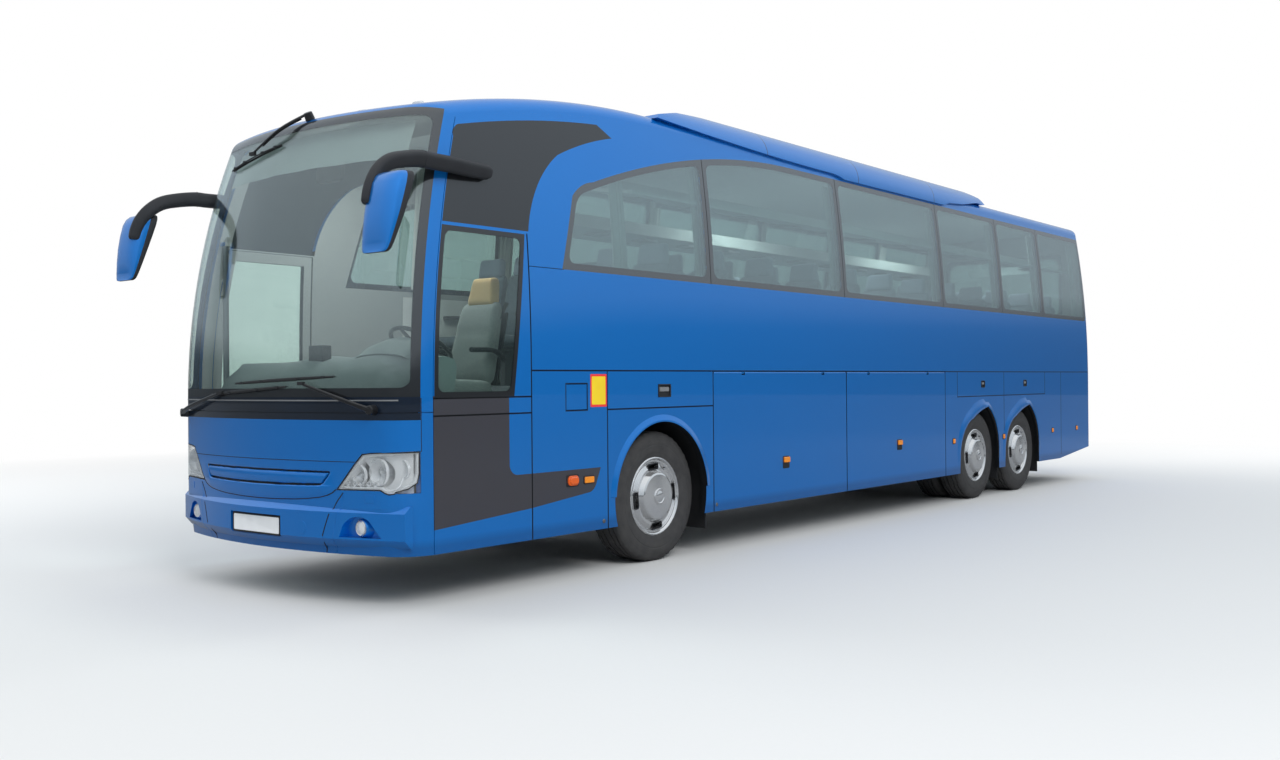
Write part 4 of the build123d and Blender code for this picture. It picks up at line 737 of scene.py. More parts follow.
def make_tyre(name, side, axle, planes):
    shape = Shape()
    whole = list(TYRE_HALF) + [(-x, r) for x, r in TYRE_HALF[::-1]]
    for plane in planes:
        rings = []
        for n in range(TREAD_STEPS):
            a = 2 * math.pi * n / TREAD_STEPS
            ring = []
            for x, r in whole:
                if r > 497 and abs(x) > 100:
                    r -= 7 if n % 3 == 0 else 0
                elif r > 510 and 38 < abs(x) < 84:
                    r -= 5 if n % 6 == 0 else 0
                wave = 0.0022 * (1 if n % 6 < 3 else -1) if 20 < abs(x) < 90 and r > 495 else 0
                ring.append((side * plane + x / 1000 + wave, axle + r / 1000 * math.cos(a),
                             AXLE_Z + r / 1000 * math.sin(a)))
            rings.append(ring)
        rings.append(rings[0])
        shape.rings(rings, loop=False, caps=False)
    shape.piece("tyre_tread_" + name, TYRE, "wheel_" + name, replaces=("tyre_" + name,), angle=28)


def make_trim(name, side, axle, planes):
    """Steel rim edge, black well in the dome's slots, cap ring and valve."""
    middle = (side * planes[0], axle, AXLE_Z)
    body = "wheel_" + name
    lathed("rim_edge_" + name, CHROME,
           [(0.104, 0.300), (0.118, 0.3125), (0.1265, 0.3125), (0.131, 0.308), (0.1325, 0.302),
            (0.1300, 0.296), (0.1240, 0.291), (0.118, 0.287), (0.112, 0.280), (0.106, 0.275)],
           middle, way=side, count=72, body=body)
    lathed("wheel_cap_" + name, CHROME,
           [(0.171, 0.064), (0.178, 0.063), (0.181, 0.059), (0.181, 0.053), (0.178, 0.050),
            (0.176, 0.046), (0.177, 0.043), (0.179, 0.036), (0.182, 0.024), (0.183, 0.0)],
           middle, way=side, body=body)
    well = Shape()
    well.lathe([(0.060, 0.262), (0.066, 0.215)], middle, way=side)
    slot_radius = 0.236
    for n in range(4):
        a = 2 * math.pi * n / 4 + math.radians(5)
        rings = []
        for along, grow in ((0.092, 0.0), (0.1275, 0.0), (0.1290, 0.0035), (0.1275, 0.007), (0.120, 0.007)):
            ring = []
            for u, v in rounded(0.118, 0.034, 0.010, 3):
                cu, cr = u * (1 + grow / 0.05), slot_radius + v * (1 + grow / 0.012)
                y = axle + cr * math.cos(a) - cu * math.sin(a)
                z = AXLE_Z + cr * math.sin(a) + cu * math.cos(a)
                ring.append((middle[0] + side * along, y, z))
            rings.append(ring)
        well.rings(rings, caps=False)
    well.piece("slot_rims_" + name, BLACK, body)
    valve = Shape()
    a = math.radians(62)
    base = Vector((middle[0] + side * 0.112, axle + 0.252 * math.cos(a), AXLE_Z + 0.252 * math.sin(a)))
    tip = base + Vector((side * 0.030, -0.006 * math.cos(a), -0.006 * math.sin(a)))
    valve.sweep([base, base.lerp(tip, 0.5), tip], lambda t: ring_of(0.0045 - 0.001 * t, 10), up=(0, 0.3, 1))
    valve.piece("valve_" + name, RUBBER, body)


for wheel_row in WHEELS:
    make_tyre(*wheel_row)
    make_trim(*wheel_row)

# ---------- lamps at the front


def make_headlamp(label, side):
    """Bezel, two bowls with bulbs, amber bulb and bright lower strip behind the clear cover."""
    def cast(x, z):
        return NOSE_FACE.front(side * x, z)

    def wrap(x, z):
        """Cast from the front up to where the corner turns, then from the side."""
        if x < 1.2:
            return cast(x, z)
        return WALLS.side(side)(back(0.19 + (x - 1.2)), z)

    bezel = Shape()
    outline = ((0.757, 0.753), (0.80, 0.80), (0.85, 0.86), (0.905, 0.925), (0.957, 0.979), (1.02, 0.988),
               (1.09, 0.991), (1.16, 0.992), (1.225, 0.9925), (1.27, 0.9925), (1.334, 0.9925),
               (1.334, 0.93), (1.334, 0.86), (1.32, 0.80), (1.27, 0.765), (1.21, 0.745), (1.175, 0.735),
               (1.145, 0.7295), (1.118, 0.7395), (1.088, 0.757), (1.00, 0.7565), (0.88, 0.7545))
    middle = Vector((1.05, 0.865))
    rings = []
    for pull, depth in ((0.0, -0.009), (0.016, -0.0095), (0.020, -0.016), (0.024, -0.040), (0.030, -0.060)):
        ring = []
        for x, z in outline:
            way = (middle - Vector((x, z))).normalized()
            place, normal = wrap(x + way.x * pull, z + way.y * pull * 0.9)
            inward = Vector((0, 1, 0)) if x < 1.2 else Vector((-side * 0.8, 0.6, 0))
            ring.append(place + inward * -depth)
        rings.append(ring)
    bezel.rings(rings, caps=False)
    bezel.piece("lamp_bezel_" + label, SATIN_SILVER, angle=50)
    bowls = Shape()
    bulbs = Shape()
    for x, z, radius, depth in ((0.905, 0.845, 0.058, 0.020), (1.045, 0.868, 0.082, 0.024),
                                (1.172, 0.885, 0.052, 0.060)):
        place, _ = cast(x, z)
        centre = place + Vector((0, depth + 0.012, 0))
        rim = [(-0.004, radius + 0.008), (-0.007, radius + 0.004), (-0.005, radius), (0.008, radius * 0.97),
               (0.028, radius * 0.80), (0.045, radius * 0.52), (0.053, radius * 0.2)]
        bowls.lathe([(0.012, radius + 0.009)] + rim, centre, "Y", 1, 40)
        mark = 1 if x > 1.1 else 0
        bulbs.lathe([(0.055, 0.012), (0.030, 0.014), (0.022, 0.013), (0.016, 0.009), (0.013, 0.0)], centre,
                    "Y", 1, 20, mark)
        bulbs.lathe([(0.040, radius * 0.42), (0.034, radius * 0.44), (0.030, radius * 0.40)], centre, "Y",
                    1, 28, 2)
    for n in range(5):
        x = 0.83 + n * 0.052
        place, _ = cast(x, 0.79)
        bowls.lathe([(0.0, 0.017), (0.010, 0.015), (0.016, 0.006), (0.017, 0.0)],
                    place + Vector((0, 0.018, 0)), "Y", 1, 16)
    bowls.piece("lamp_reflectors_" + label, BOWL, angle=40)
    bulbs.piece("lamp_bulbs_" + label, (CLEAR_LENS, AMBER, CHROME))
    strip = Shape()
    line = [cast(x, z)[0] + Vector((0, 0.016, 0))
            for x, z in ((0.80, 0.768), (0.90, 0.7675), (1.0, 0.768), (1.085, 0.770), (1.115, 0.756),
                         (1.16, 0.757), (1.19, 0.785), (1.205, 0.84))]
    strip.sweep(flowing(line, 4), ring_of(0.006, 8), up=(0, 1, 0.1))
    strip.piece("lamp_strip_" + label, CLEAR_LENS)
    cover = Shape()
    lip = [wrap(x, z)[0] for x, z in outline]
    cover.sweep(lip, [(-0.0035, -0.002), (0.0035, -0.002), (0.0035, 0.0014), (-0.0035, 0.0014)],
                up=(side * 0.3, -1, 0), closed=True)
    cover.piece("lamp_seal_" + label, RUBBER)


def make_fog_lamp(label, side):
    """Ribbed lens in a bright ring, sunk in its socket."""
    lamp = Shape()
    centre = (side * 0.933, back(0.125), 0.512)
    lamp.lathe([(0.008, 0.050), (-0.004, 0.0495), (-0.007, 0.046), (-0.005, 0.042), (0.002, 0.041)],
               centre, "Y", 1, 40)
    lamp.piece("fog_bezel_" + label, CHROME)
    lathed("fog_socket_" + label, PAINT,
           [(0.064, 0.086), (0.050, 0.078), (0.030, 0.068), (0.012, 0.0595), (0.002, 0.0565),
            (-0.001, 0.053), (0.004, 0.050), (0.010, 0.050)], centre, "Y", angle=60)
    skinned("fog_lens_" + label, CLEAR_LENS,
            [[(centre[0] + u * share, centre[1] - 0.011 * (1 - share**2) + 0.001
               + 0.0012 * math.sin(u * share * 700), centre[2] + v * share)
               for u, v in ring_of(0.0425, 48)] for share in (1.0, 0.94, 0.8, 0.6, 0.35, 0.12)], caps=True)


for side_label, side_sign in SIDES:
    make_headlamp(side_label, side_sign)
    make_fog_lamp(side_label, side_sign)

# ---------- plate, mask and bumper details


def make_plate(name, y, z, width, height):
    """Blank number plate in its black holder."""
    for part, finish, wide, high, corner, steps in (
        ("_holder", BLACK, width, height, 0.012,
         ((0.012, 0.0), (0.012, 0.010), (0.008, 0.013), (0.003, 0.013), (0.001, 0.009))),
        ("", WHITE_PLATE, width - 0.002, height - 0.002, 0.010,
         ((0.0, 0.0085), (0.0, 0.0105), (-0.003, 0.0112), (-0.006, 0.0112), (-0.008, 0.0104))),
    ):
        skinned(name + part, finish,
                [[(u, y - depth, z + v) for u, v in rounded(wide + 2 * grow, high + 2 * grow, corner)]
                 for grow, depth in steps])


make_plate("front_plate", back(-0.005), 0.494, 0.520, 0.110)


def on_nose(x, z, lift):
    place, normal = NOSE_FACE.front(x, z)
    return place + normal * lift


def over_bore(x, z, lift):
    """A place on the bumper's face over the towing bore, read off the face beside it."""
    reach = 0.07
    left, right = (NOSE_FACE.front(TOW_X + side * reach, z)[0] for side in (-1, 1))
    share = (x - TOW_X + reach) / (2 * reach)
    bow = (reach**2 - (x - TOW_X) ** 2) / (2 * NOSE_BOW)
    return Vector((x, left.y + (right.y - left.y) * share - bow - lift, z))


def nose_point(x, z, lift):
    """A place on the plain form of the nose, moved outwards."""
    drop = nose_drop(x)
    normal = Vector((x, drop - NOSE_BOW, 0)) / NOSE_BOW
    return Vector((x, back(drop), z)) + normal * lift


def between(table, x):
    """A value read off a table of (place, value), joined by straight lines."""
    if x <= table[0][0]:
        return table[0][1]
    for (a, va), (b, vb) in zip(table, table[1:]):
        if x <= b:
            return va + (vb - va) * (x - a) / (b - a)
    return table[-1][1]


# Grille panel between the headlamps: line of its lower edge, and of the slot's outer edge
GRILLE_TOP, GRILLE_LINE_Z = 0.973, 0.931
GRILLE_LOW = ((0.0, 0.6685), (0.20, 0.6710), (0.40, 0.6785), (0.52, 0.6880), (0.62, 0.7000), (0.68, 0.7140),
              (0.72, 0.7300), (0.750, 0.7520), (0.797, 0.8010), (0.847, 0.8610), (0.902, 0.9260),
              (0.945, 0.9660))
SLOT_TOP, SLOT_LOW, SLOT_HALF_TOP, SLOT_HALF_LOW = 0.8665, 0.7660, 0.712, 0.628
SLOT_WIDE = 0.0085


def slot_distance(x, z):
    """Distance inside the slot's outer edge, negative outside."""
    low = SLOT_LOW + 0.010 * (x / SLOT_HALF_LOW) ** 2
    slope = (SLOT_HALF_TOP - SLOT_HALF_LOW) / (SLOT_TOP - SLOT_LOW)
    side = (SLOT_HALF_LOW + slope * (z - SLOT_LOW) - abs(x)) / math.hypot(1, slope)
    gaps = (SLOT_TOP - z, z - low, side)
    radius = 0.018
    short = [max(0.0, radius - g) for g in gaps]
    if min(gaps) < radius and sum(1 for g in short if g > 0) > 1:
        return radius - math.hypot(*short)
    return min(gaps)


def grille_lift(x, z, low):
    """How far the grille panel stands off the nose."""
    inside = slot_distance(x, z)
    share = max(0.0, min(1.0, (SLOT_TOP - z) / (SLOT_TOP - SLOT_LOW)))
    if inside > 0:
        if inside < SLOT_WIDE:
            return -0.020
        rise = min(1.0, (inside - SLOT_WIDE) / 0.006)
        bar = -0.0075 + 0.0145 * math.sin(math.pi * min(1.0, 0.12 + share * 0.80)) ** 0.8
        return -0.012 + (bar + 0.012) * math.sin(rise * math.pi / 2)
    near = min(1.0, -inside / 0.008)
    plain = 0.0009
    if z < SLOT_TOP and abs(x) < 0.75:
        reach = max(1e-4, SLOT_LOW + 0.010 - low)
        t = max(0.0, min(1.0, (z - low) / reach))
        ends = max(0.0, min(1.0, (0.76 - abs(x)) / 0.12))
        if t < 1:
            plain += 0.0135 * math.sin(math.pi * min(1.0, 0.04 + 0.62 * t)) ** 0.9 * ends
        else:
            side = max(0.0, min(1.0, 1 - (z - SLOT_LOW) / (SLOT_TOP - SLOT_LOW)))
            plain += 0.0125 * ends * side
    edge = min(1.0, max(0.0, (z - low) / 0.004))
    return plain * (0.3 + 0.7 * edge) - 0.004 * (1 - near) ** 2


panel = Shape()
xs = [n * 0.020 for n in range(29)]
xs += [0.575 + n * 0.0045 for n in range(36)] + [0.745 + n * 0.0125 for n in range(17)]
xs = sorted({-x for x in xs if x > 0} | set(xs))
ROWS = 104
for i in range(len(xs) - 1):
    for j in range(ROWS):
        quad, inner = [], 0.0
        for x, t in ((xs[i], j), (xs[i + 1], j), (xs[i + 1], j + 1), (xs[i], j + 1)):
            low = between(GRILLE_LOW, abs(x))
            z = GRILLE_TOP + (low - GRILLE_TOP) * t / ROWS
            quad.append(nose_point(x, z, grille_lift(x, z, low)))
            inner += slot_distance(x, z) / 4
        # Faces just inside the slot's outer edge take satin black: painted shade in the deep slot, whose
        # paint is body blue.
        panel.take(quad, [(0, 1, 2, 3)], 1 if 0 < inner < SLOT_WIDE + 0.001 else 0)
panel.piece("grille_panel", (PAINT, SATIN_BLACK), replaces=("grille",), angle=38)


def seam(shape, line, width=0.0035, proud=0.0007, up=(0, -1, 0), closed=False, mark=0):
    """A thin dark line that marks a joint."""
    half = width / 2
    shape.sweep(line, [(-half, -0.002), (half, -0.002), (half * 0.9, proud), (-half * 0.9, proud)], up=up,
                closed=closed, mark=mark)


nose_lines = Shape()
seam(nose_lines, [nose_point(-0.902 + 1.804 * n / 48, GRILLE_LINE_Z, 0.0010) for n in range(49)], 0.0045)
smile = [(x, between(GRILLE_LOW, x)) for x in (0, 0.1, 0.2, 0.3, 0.4, 0.46, 0.52, 0.57, 0.62, 0.65, 0.68,
                                               0.70, 0.72, 0.737, 0.750)]
smile = [(-x, z) for x, z in smile[:0:-1]] + smile
seam(nose_lines, flowing([nose_point(x, z, 0.0012) for x, z in smile], 3), 0.0075, 0.0012)
for s_x in (-1, 1):
    seam(nose_lines, [WALLS.side(s_x)(back(0.338), z)[0] for z in (1.335, 1.25, 1.15, 1.05, 0.996)], 0.0055,
         0.0012, (s_x, -1, 0))
# Joint between bumper and mask, and the groove beside it that a strip of paint fills
BUMPER_JOINT = ((0.807, 0.733), (0.790, 0.712), (0.767, 0.686), (0.748, 0.660), (0.732, 0.633),
                (0.712, 0.595), (0.695, 0.554), (0.676, 0.503), (0.659, 0.454), (0.645, 0.405),
                (0.634, 0.363), (0.628, 0.340))
GROOVE = ((0.812, 0.732), (0.786, 0.640), (0.762, 0.540), (0.737, 0.440), (0.713, 0.342))
for s_x in (-1, 1):
    seam(nose_lines, [NOSE_FACE.front(s_x * x, z)[0] for x, z in BUMPER_JOINT], 0.008, 0.0012)
nose_lines.piece("nose_seams", RUBBER)
fillers = Shape()
for s_x in (-1, 1):
    beside = []
    for (x0, z0), (x1, z1) in zip(GROOVE, GROOVE[1:]):
        for n in range(6):
            x, z = x0 + (x1 - x0) * n / 6, z0 + (z1 - z0) * n / 6
            beside.append((NOSE_FACE.front(s_x * (x - 0.006), z)[0]
                           + NOSE_FACE.front(s_x * (x + 0.006), z)[0]) / 2)
    fillers.sweep(beside, [(-0.0036, -0.003), (0.0036, -0.003), (0.0034, 0.0003), (-0.0034, 0.0003)],
                  up=(0, -1, 0))
fillers.piece("bumper_joint_fillers", PAINT)
strip = Shape()
strip.sweep([on_nose(-1.195 + 2.39 * n / 60, 1.3215, 0.0006) for n in range(61)],
            [(-0.0045, -0.002), (0.0045, -0.002), (0.0045, 0.001), (0.002, 0.002), (-0.002, 0.002),
             (-0.0045, 0.001)], up=(0, -1, 0))
strip.piece("screen_foot_strip", GREY_TRIM)

for side_label, side_sign in SIDES:
    def front_of(u, v, s=side_sign):
        return NOSE_FACE.front(s * u, v)
    cover = Shape()
    cover.plate(shifted(rounded(0.075, 0.052, 0.008), 1.012, 0.700), front_of, -0.002, 0.0025, shrink=0.001)
    cover.piece("washer_cover_" + side_label, PAINT)
rings = []
for share, level in ((1.0, -0.004), (1.0, 0.0008), (0.985, 0.0018), (0.5, 0.0020)):
    rings.append([over_bore(TOW_X + u * share, 0.50 + v * share, level) for u, v in ring_of(0.043, 48)])
skinned("towing_cover", PAINT, rings)

# ---------- wipers and mirrors


def make_wiper(name, pivot, knee, joint, blade_start, blade_end):
    """Arm with its cap and hinge, tie rod, and a blade bowed against the glass."""
    arm = Shape()
    base = on_nose(*pivot, 0.0)
    top = on_nose(*pivot, 0.055)
    way = (top - base).normalized()
    side_way = way.cross(Vector((0, 0, 1))).normalized()
    arm.sweep([base, base.lerp(top, 0.5), top - way * 0.004, top],
              lambda t: ring_of(0.034 - 0.006 * t - (0.004 if t > 0.9 else 0), 20), up=side_way)
    line = flowing([on_nose(*pivot, 0.045), on_nose(*knee, 0.052), on_nose(*joint, 0.036)], 8)
    arm.sweep(line, lambda t: [(u * (1.0 - 0.55 * t), v * (1 - 0.3 * t))
                               for u, v in ((-0.019, -0.008), (0.019, -0.008), (0.021, 0.002),
                                            (0.012, 0.011), (-0.012, 0.011), (-0.021, 0.002))], up=way)
    spring = [p - way * 0.012 for p in line[2:-3]]
    arm.sweep(spring, ring_of(0.0055, 8), up=way)
    arm.piece(name + "_arm", SATIN_BLACK, slot="rubber", replaces=("wipers",), bevel=0.0015)
    blade = Shape()
    count = 22
    spine, edge = [], []
    for n in range(count + 1):
        t = n / count
        x = blade_start[0] + (blade_end[0] - blade_start[0]) * t
        z = blade_start[1] + (blade_end[1] - blade_start[1]) * t
        spine.append(on_nose(x, z, 0.018 + 0.008 * (1 - (2 * t - 1) ** 2)))
        edge.append(on_nose(x, z, 0.006))
    blade.sweep(spine, lambda t: [(u * (0.6 + 1.6 * t * (1 - t)), v)
                                  for u, v in ((-0.012, -0.004), (0.012, -0.004), (0.010, 0.003),
                                               (0.0, 0.006), (-0.010, 0.003))], up=way)
    blade.sweep(edge, [(-0.004, 0.009), (0.004, 0.009), (0.0015, -0.005), (-0.0015, -0.005)], up=way,
                mark=1)
    for n in (2, 7, 15, 20):
        blade.block(spine[n] - Vector((0.012, 0.010, 0.009)), spine[n] + Vector((0.012, 0.006, 0.009)))
    mid = on_nose(*joint, 0.034)
    blade.block(mid - Vector((0.030, 0.012, 0.012)), mid + Vector((0.030, 0.010, 0.012)))
    blade.piece(name + "_blade", (BLACK, RUBBER), slot="rubber", bevel=0.001)


make_wiper("wiper_driver", (1.045, 1.262), (0.884, 1.315), (0.489, 1.432), (-0.235, 1.436), (0.755, 1.474))
make_wiper("wiper_door", (-1.120, 1.225), (-0.84, 1.285), (-0.42, 1.372), (-0.603, 1.357), (0.329, 1.412))
make_wiper("wiper_upper", (0.094, 3.262), (-0.12, 3.19), (-0.436, 3.066), (-0.756, 2.991), (-0.101, 3.092))


def make_mirror(label, side):
    """Blue shell hung from a curved arm, with a black rim and the glass facing back."""
    def at(x, d, z):
        return Vector((side * x, back(d), z))

    arm = Shape()
    line = flowing([at(1.236, 0.985, 2.844), at(1.246, 0.795, 2.842), at(1.262, 0.603, 2.845),
                    at(1.276, 0.429, 2.842), at(1.284, 0.330, 2.842), at(1.292, 0.194, 2.820),
                    at(1.302, 0.075, 2.787), at(1.312, -0.012, 2.731), at(1.326, -0.077, 2.656),
                    at(1.334, -0.114, 2.576), at(1.337, -0.129, 2.500)], 5)
    count = len(line) - 1

    def arm_section(t):
        wide = 0.040 if t < 0.5 else 0.040 - 0.008 * (t - 0.5) / 0.5
        high = 0.050 + 0.004 * min(1, t / 0.10) if t < 0.4 else 0.054 - 0.012 * (t - 0.4) / 0.6
        tuck = min(1.0, 0.72 + t / 0.05, 0.80 + (1 - t) / 0.04)
        return [(tuck * wide * math.copysign(abs(math.cos(a)) ** 0.7, math.cos(a)),
                 tuck * high * math.copysign(abs(math.sin(a)) ** 0.7, math.sin(a)))
                for a in (2 * math.pi * n / 24 for n in range(24))]

    arm.sweep(line, arm_section,
              up=lambda n: Vector((0.35 * side, 0, 1)).lerp(Vector((0.3 * side, -1, 0.1)),
                                                            max(0, (n / count - 0.55) / 0.45)))
    a, b = line[19:21]
    arm.sweep([a, a.lerp(b, 0.10), a.lerp(b, 0.2)],
              [(u * 1.035, v * 1.035) for u, v in arm_section(19 / count)], up=(0.3 * side, 0, 1))
    arm.piece("mirror_arm_" + label, BLACK_SOFT, replaces=("mirrors",))
    shell, rim, face = Shape(), Shape(), Shape()
    levels = (
        # height, middle x, half width, front d
        (2.203, 1.430, 0.085, -0.132), (2.208, 1.430, 0.103, -0.150), (2.222, 1.431, 0.116, -0.160),
        (2.26, 1.432, 0.1250, -0.1650), (2.34, 1.434, 0.1330, -0.1660), (2.44, 1.436, 0.1390, -0.1590),
        (2.54, 1.436, 0.1415, -0.1430), (2.62, 1.436, 0.1400, -0.1230), (2.665, 1.437, 0.1320, -0.0980),
        (2.688, 1.438, 0.1180, -0.0700), (2.698, 1.440, 0.0950, -0.0300),
    )

    def lean(z):
        """How far back the rear edge of the shell lies: it leans, and the head is deepest at its top."""
        return -0.122 + (z - 2.25) / 0.45 * 0.165

    rings = []
    for z, mid, half, front in levels:
        ring = []
        hind = lean(z) - 0.018 - 0.030 * (z - 2.2) / 0.5
        for n in range(25):
            a = math.pi * n / 24
            u, v = -math.cos(a), math.sin(a)
            ring.append(at(mid + half * math.copysign(abs(u) ** 0.72, u),
                           hind + (min(front, hind - 0.012) - hind) * abs(v) ** 0.62, z))
        rings.append(ring)
    shell.rings(rings, loop=False)
    for ring in (rings[0], rings[-1]):
        shell.take(ring, [list(range(len(ring)))])
    shell.piece("mirror_shell_" + label, PAINT, angle=60)
    border = [r[0] for r in rings] + [r[-1] for r in reversed(rings)]
    centre = sum(border, Vector()) / len(border)

    def pulled(share, d):
        return [Vector((centre.x + (p.x - centre.x) * share, p.y + d, centre.z + (p.z - centre.z) * share))
                for p in border]

    def edge(share, along):
        """The border moved along the depth between the shell and the rear edge."""
        return [Vector((p.x, back(lean(p.z)) + along, p.z)) for p in pulled(share, 0)]

    rim.rings([pulled(0.99, -0.002), pulled(1.0, 0.0), edge(1.006, -0.006), edge(1.003, 0.004),
               edge(0.985, 0.009), edge(0.955, 0.008), edge(0.935, 0.000), edge(0.93, -0.006)], caps=False)
    rim.piece("mirror_rim_" + label, BLACK_SOFT, angle=50)
    low_edge = 2.365
    for name, z0, z1 in (("wide", 2.222, low_edge - 0.006), ("main", low_edge + 0.006, 2.680)):
        middle_z = (z0 + z1) / 2
        pane = rounded(0.214 if name == "wide" else 0.232, z1 - z0, 0.030, 5)
        bulge = 0.010 if name == "wide" else 0.003
        rows = []
        for share in (1.0, 0.8, 0.55, 0.25):
            rows.append([Vector((centre.x + u * share, back(lean(middle_z + v * share))
                                 + bulge * (1 - share**2) + 0.001, middle_z + v * share)) for u, v in pane])
        face.rings(rows)
    face.piece("mirror_glass_" + label, MIRROR, angle=60)
    skinned("mirror_back_" + label, BLACK, [edge(0.96, -0.003), edge(0.94, -0.006)])


for side_label, side_sign in SIDES:
    make_mirror(side_label, side_sign)

# ---------- small things along the sides

SIDE_LAMPS = (
    # distance behind the nose, height, width and height of the lens, form
    (4.660, 0.69, 0.092, 0.050, "latch"), (6.919, 0.745, 0.092, 0.050, "latch"),
    (8.282, 0.717, 0.058, 0.052, "flat"), (9.745, 0.713, 0.058, 0.052, "flat"),
    (11.427, 0.728, 0.058, 0.052, "flat"), (12.369, 0.729, 0.058, 0.052, "flat"),
    (1.753, 0.717, 0.112, 0.072, "bulging"), (1.934, 0.712, 0.104, 0.046, "flat"),
)
HANDLES = (
    # distance behind the nose, height, width and height of the pocket
    (2.853, 1.3545, 0.150, 0.088), (9.118, 1.363, 0.096, 0.070), (10.456, 1.367, 0.096, 0.070),
)


def side_marks(label, side):
    """Side lamps on their bases, handle pockets and jacking dots."""
    cast = WALLS.side(side)

    def body_at(d):
        y = back(d)
        if WINDOW_JOINTS[0] < y < WINDOW_JOINTS[1]:
            return f"flap_{label}_front"
        if WINDOW_JOINTS[1] < y < (WINDOW_JOINTS[2] if side == 1 else MID_DOOR_FRONT):
            return f"flap_{label}_rear"
        return "coach"

    for number, (d, z, width, height, form) in enumerate(SIDE_LAMPS):
        latch, bulging = form == "latch", form == "bulging"
        y = back(d)
        z += 0.018 if latch else 0.0
        lens = Shape()
        outline = shifted(rounded(width, height, *((0.030, 6) if bulging else (0.008, 3))), y, z)
        if bulging:
            for low, high, shrink in ((-0.003, 0.016, 0.003), (0.016, 0.028, 0.008)):
                lens.plate(outline, cast, low, high, shrink=shrink)
                outline = [((u - y) * 0.86 + y, (v - z) * 0.76 + z) for u, v in outline]
        else:
            lens.plate(outline, cast, -0.003, 0.020 if latch else 0.011, shrink=0.004)
        lens.piece(f"side_marker_{label}_{number}", ORANGE if bulging else AMBER, body_at(d), bevel=0.002)
        holder = Shape()
        grow, extra = 0.008, 0.045 if latch else 0
        rim = rounded(width + 2 * grow, height + 2 * grow + extra, 0.010, 3)
        holder.plate(shifted(rim, y, z - extra / 2), cast, -0.003, 0.005, shrink=0.002)
        holder.piece(f"side_marker_base_{label}_{number}", BLACK, body_at(d), bevel=0.001)
    for number, (d, z, width, height) in enumerate(HANDLES):
        pocket = Shape()
        rim = shifted(rounded(width + 0.014, height + 0.014, 0.016), back(d), z)
        rings = []
        for pull, level in ((0.0, -0.002), (0.0, 0.004), (0.006, 0.0055), (0.011, 0.004), (0.012, -0.011)):
            ring = []
            for y, zz in rim:
                away = (Vector((back(d), z)) - Vector((y, zz))).normalized()
                ring.append(Vector((side * (HALF_WIDTH + level), y + away.x * pull, zz + away.y * pull)))
            rings.append(ring)
        pocket.rings(rings, caps=False)
        pocket.take(rings[-1], [list(range(len(rings[-1])))])
        up = Vector((0, 0, height * 0.12))
        pocket.rings([[Vector((side * (HALF_WIDTH + lift), back(d) + u, z + v)) + up
                       for u, v in rounded(width - narrow, height * share, 0.008)]
                      for lift, narrow, share in ((-0.010, 0.03, 0.42), (0.001, 0.034, 0.38))], mark=1)
        pocket.piece(f"handle_{label}_{number}", (BLACK_SOFT, GREY_TRIM), bevel=0.001)
    for number, d in enumerate((2.100, 3.560)):
        lathed(f"jacking_dot_{label}_{number}", STEEL,
               [(0.001, 0.016), (0.004, 0.014), (0.005, 0.006), (0.0045, 0.0)],
               (side * HALF_WIDTH, back(d), 0.392), way=side, count=20)


def arch_edge(axle):
    """Points along the edge of a rear wheel's arch, from its front foot over the top and down."""
    def arc(a, b, c, count=9):
        (ax, ay), (bx, by), (cx, cy) = a, b, c
        d = 2 * (ax * (by - cy) + bx * (cy - ay) + cx * (ay - by))
        ux = ((ax**2 + ay**2) * (by - cy) + (bx**2 + by**2) * (cy - ay) + (cx**2 + cy**2) * (ay - by)) / d
        uy = ((ax**2 + ay**2) * (cx - bx) + (bx**2 + by**2) * (ax - cx) + (cx**2 + cy**2) * (bx - ax)) / d
        r = math.hypot(ax - ux, ay - uy)
        start, end = math.atan2(ay - uy, ax - ux), math.atan2(cy - uy, cx - ux)
        if start - end > math.pi:
            end += 2 * math.pi
        if end - start > math.pi:
            start += 2 * math.pi
        return [(ux + r * math.cos(start + (end - start) * n / count),
                 uy + r * math.sin(start + (end - start) * n / count)) for n in range(count)]
    points = [(-0.5875, 0.42), (-0.586, 0.46)]
    points += arc((-0.585, 0.5), (-0.470, 0.83), (-0.240, 0.96))
    points += arc((-0.240, 0.96), (0.040, 1.058), (0.214, 1.092))
    points += arc((0.214, 1.092), (0.460, 0.870), (0.555, 0.5)) + [(0.555, 0.5), (0.555, 0.46)]
    return [(axle + y, z) for y, z in points]


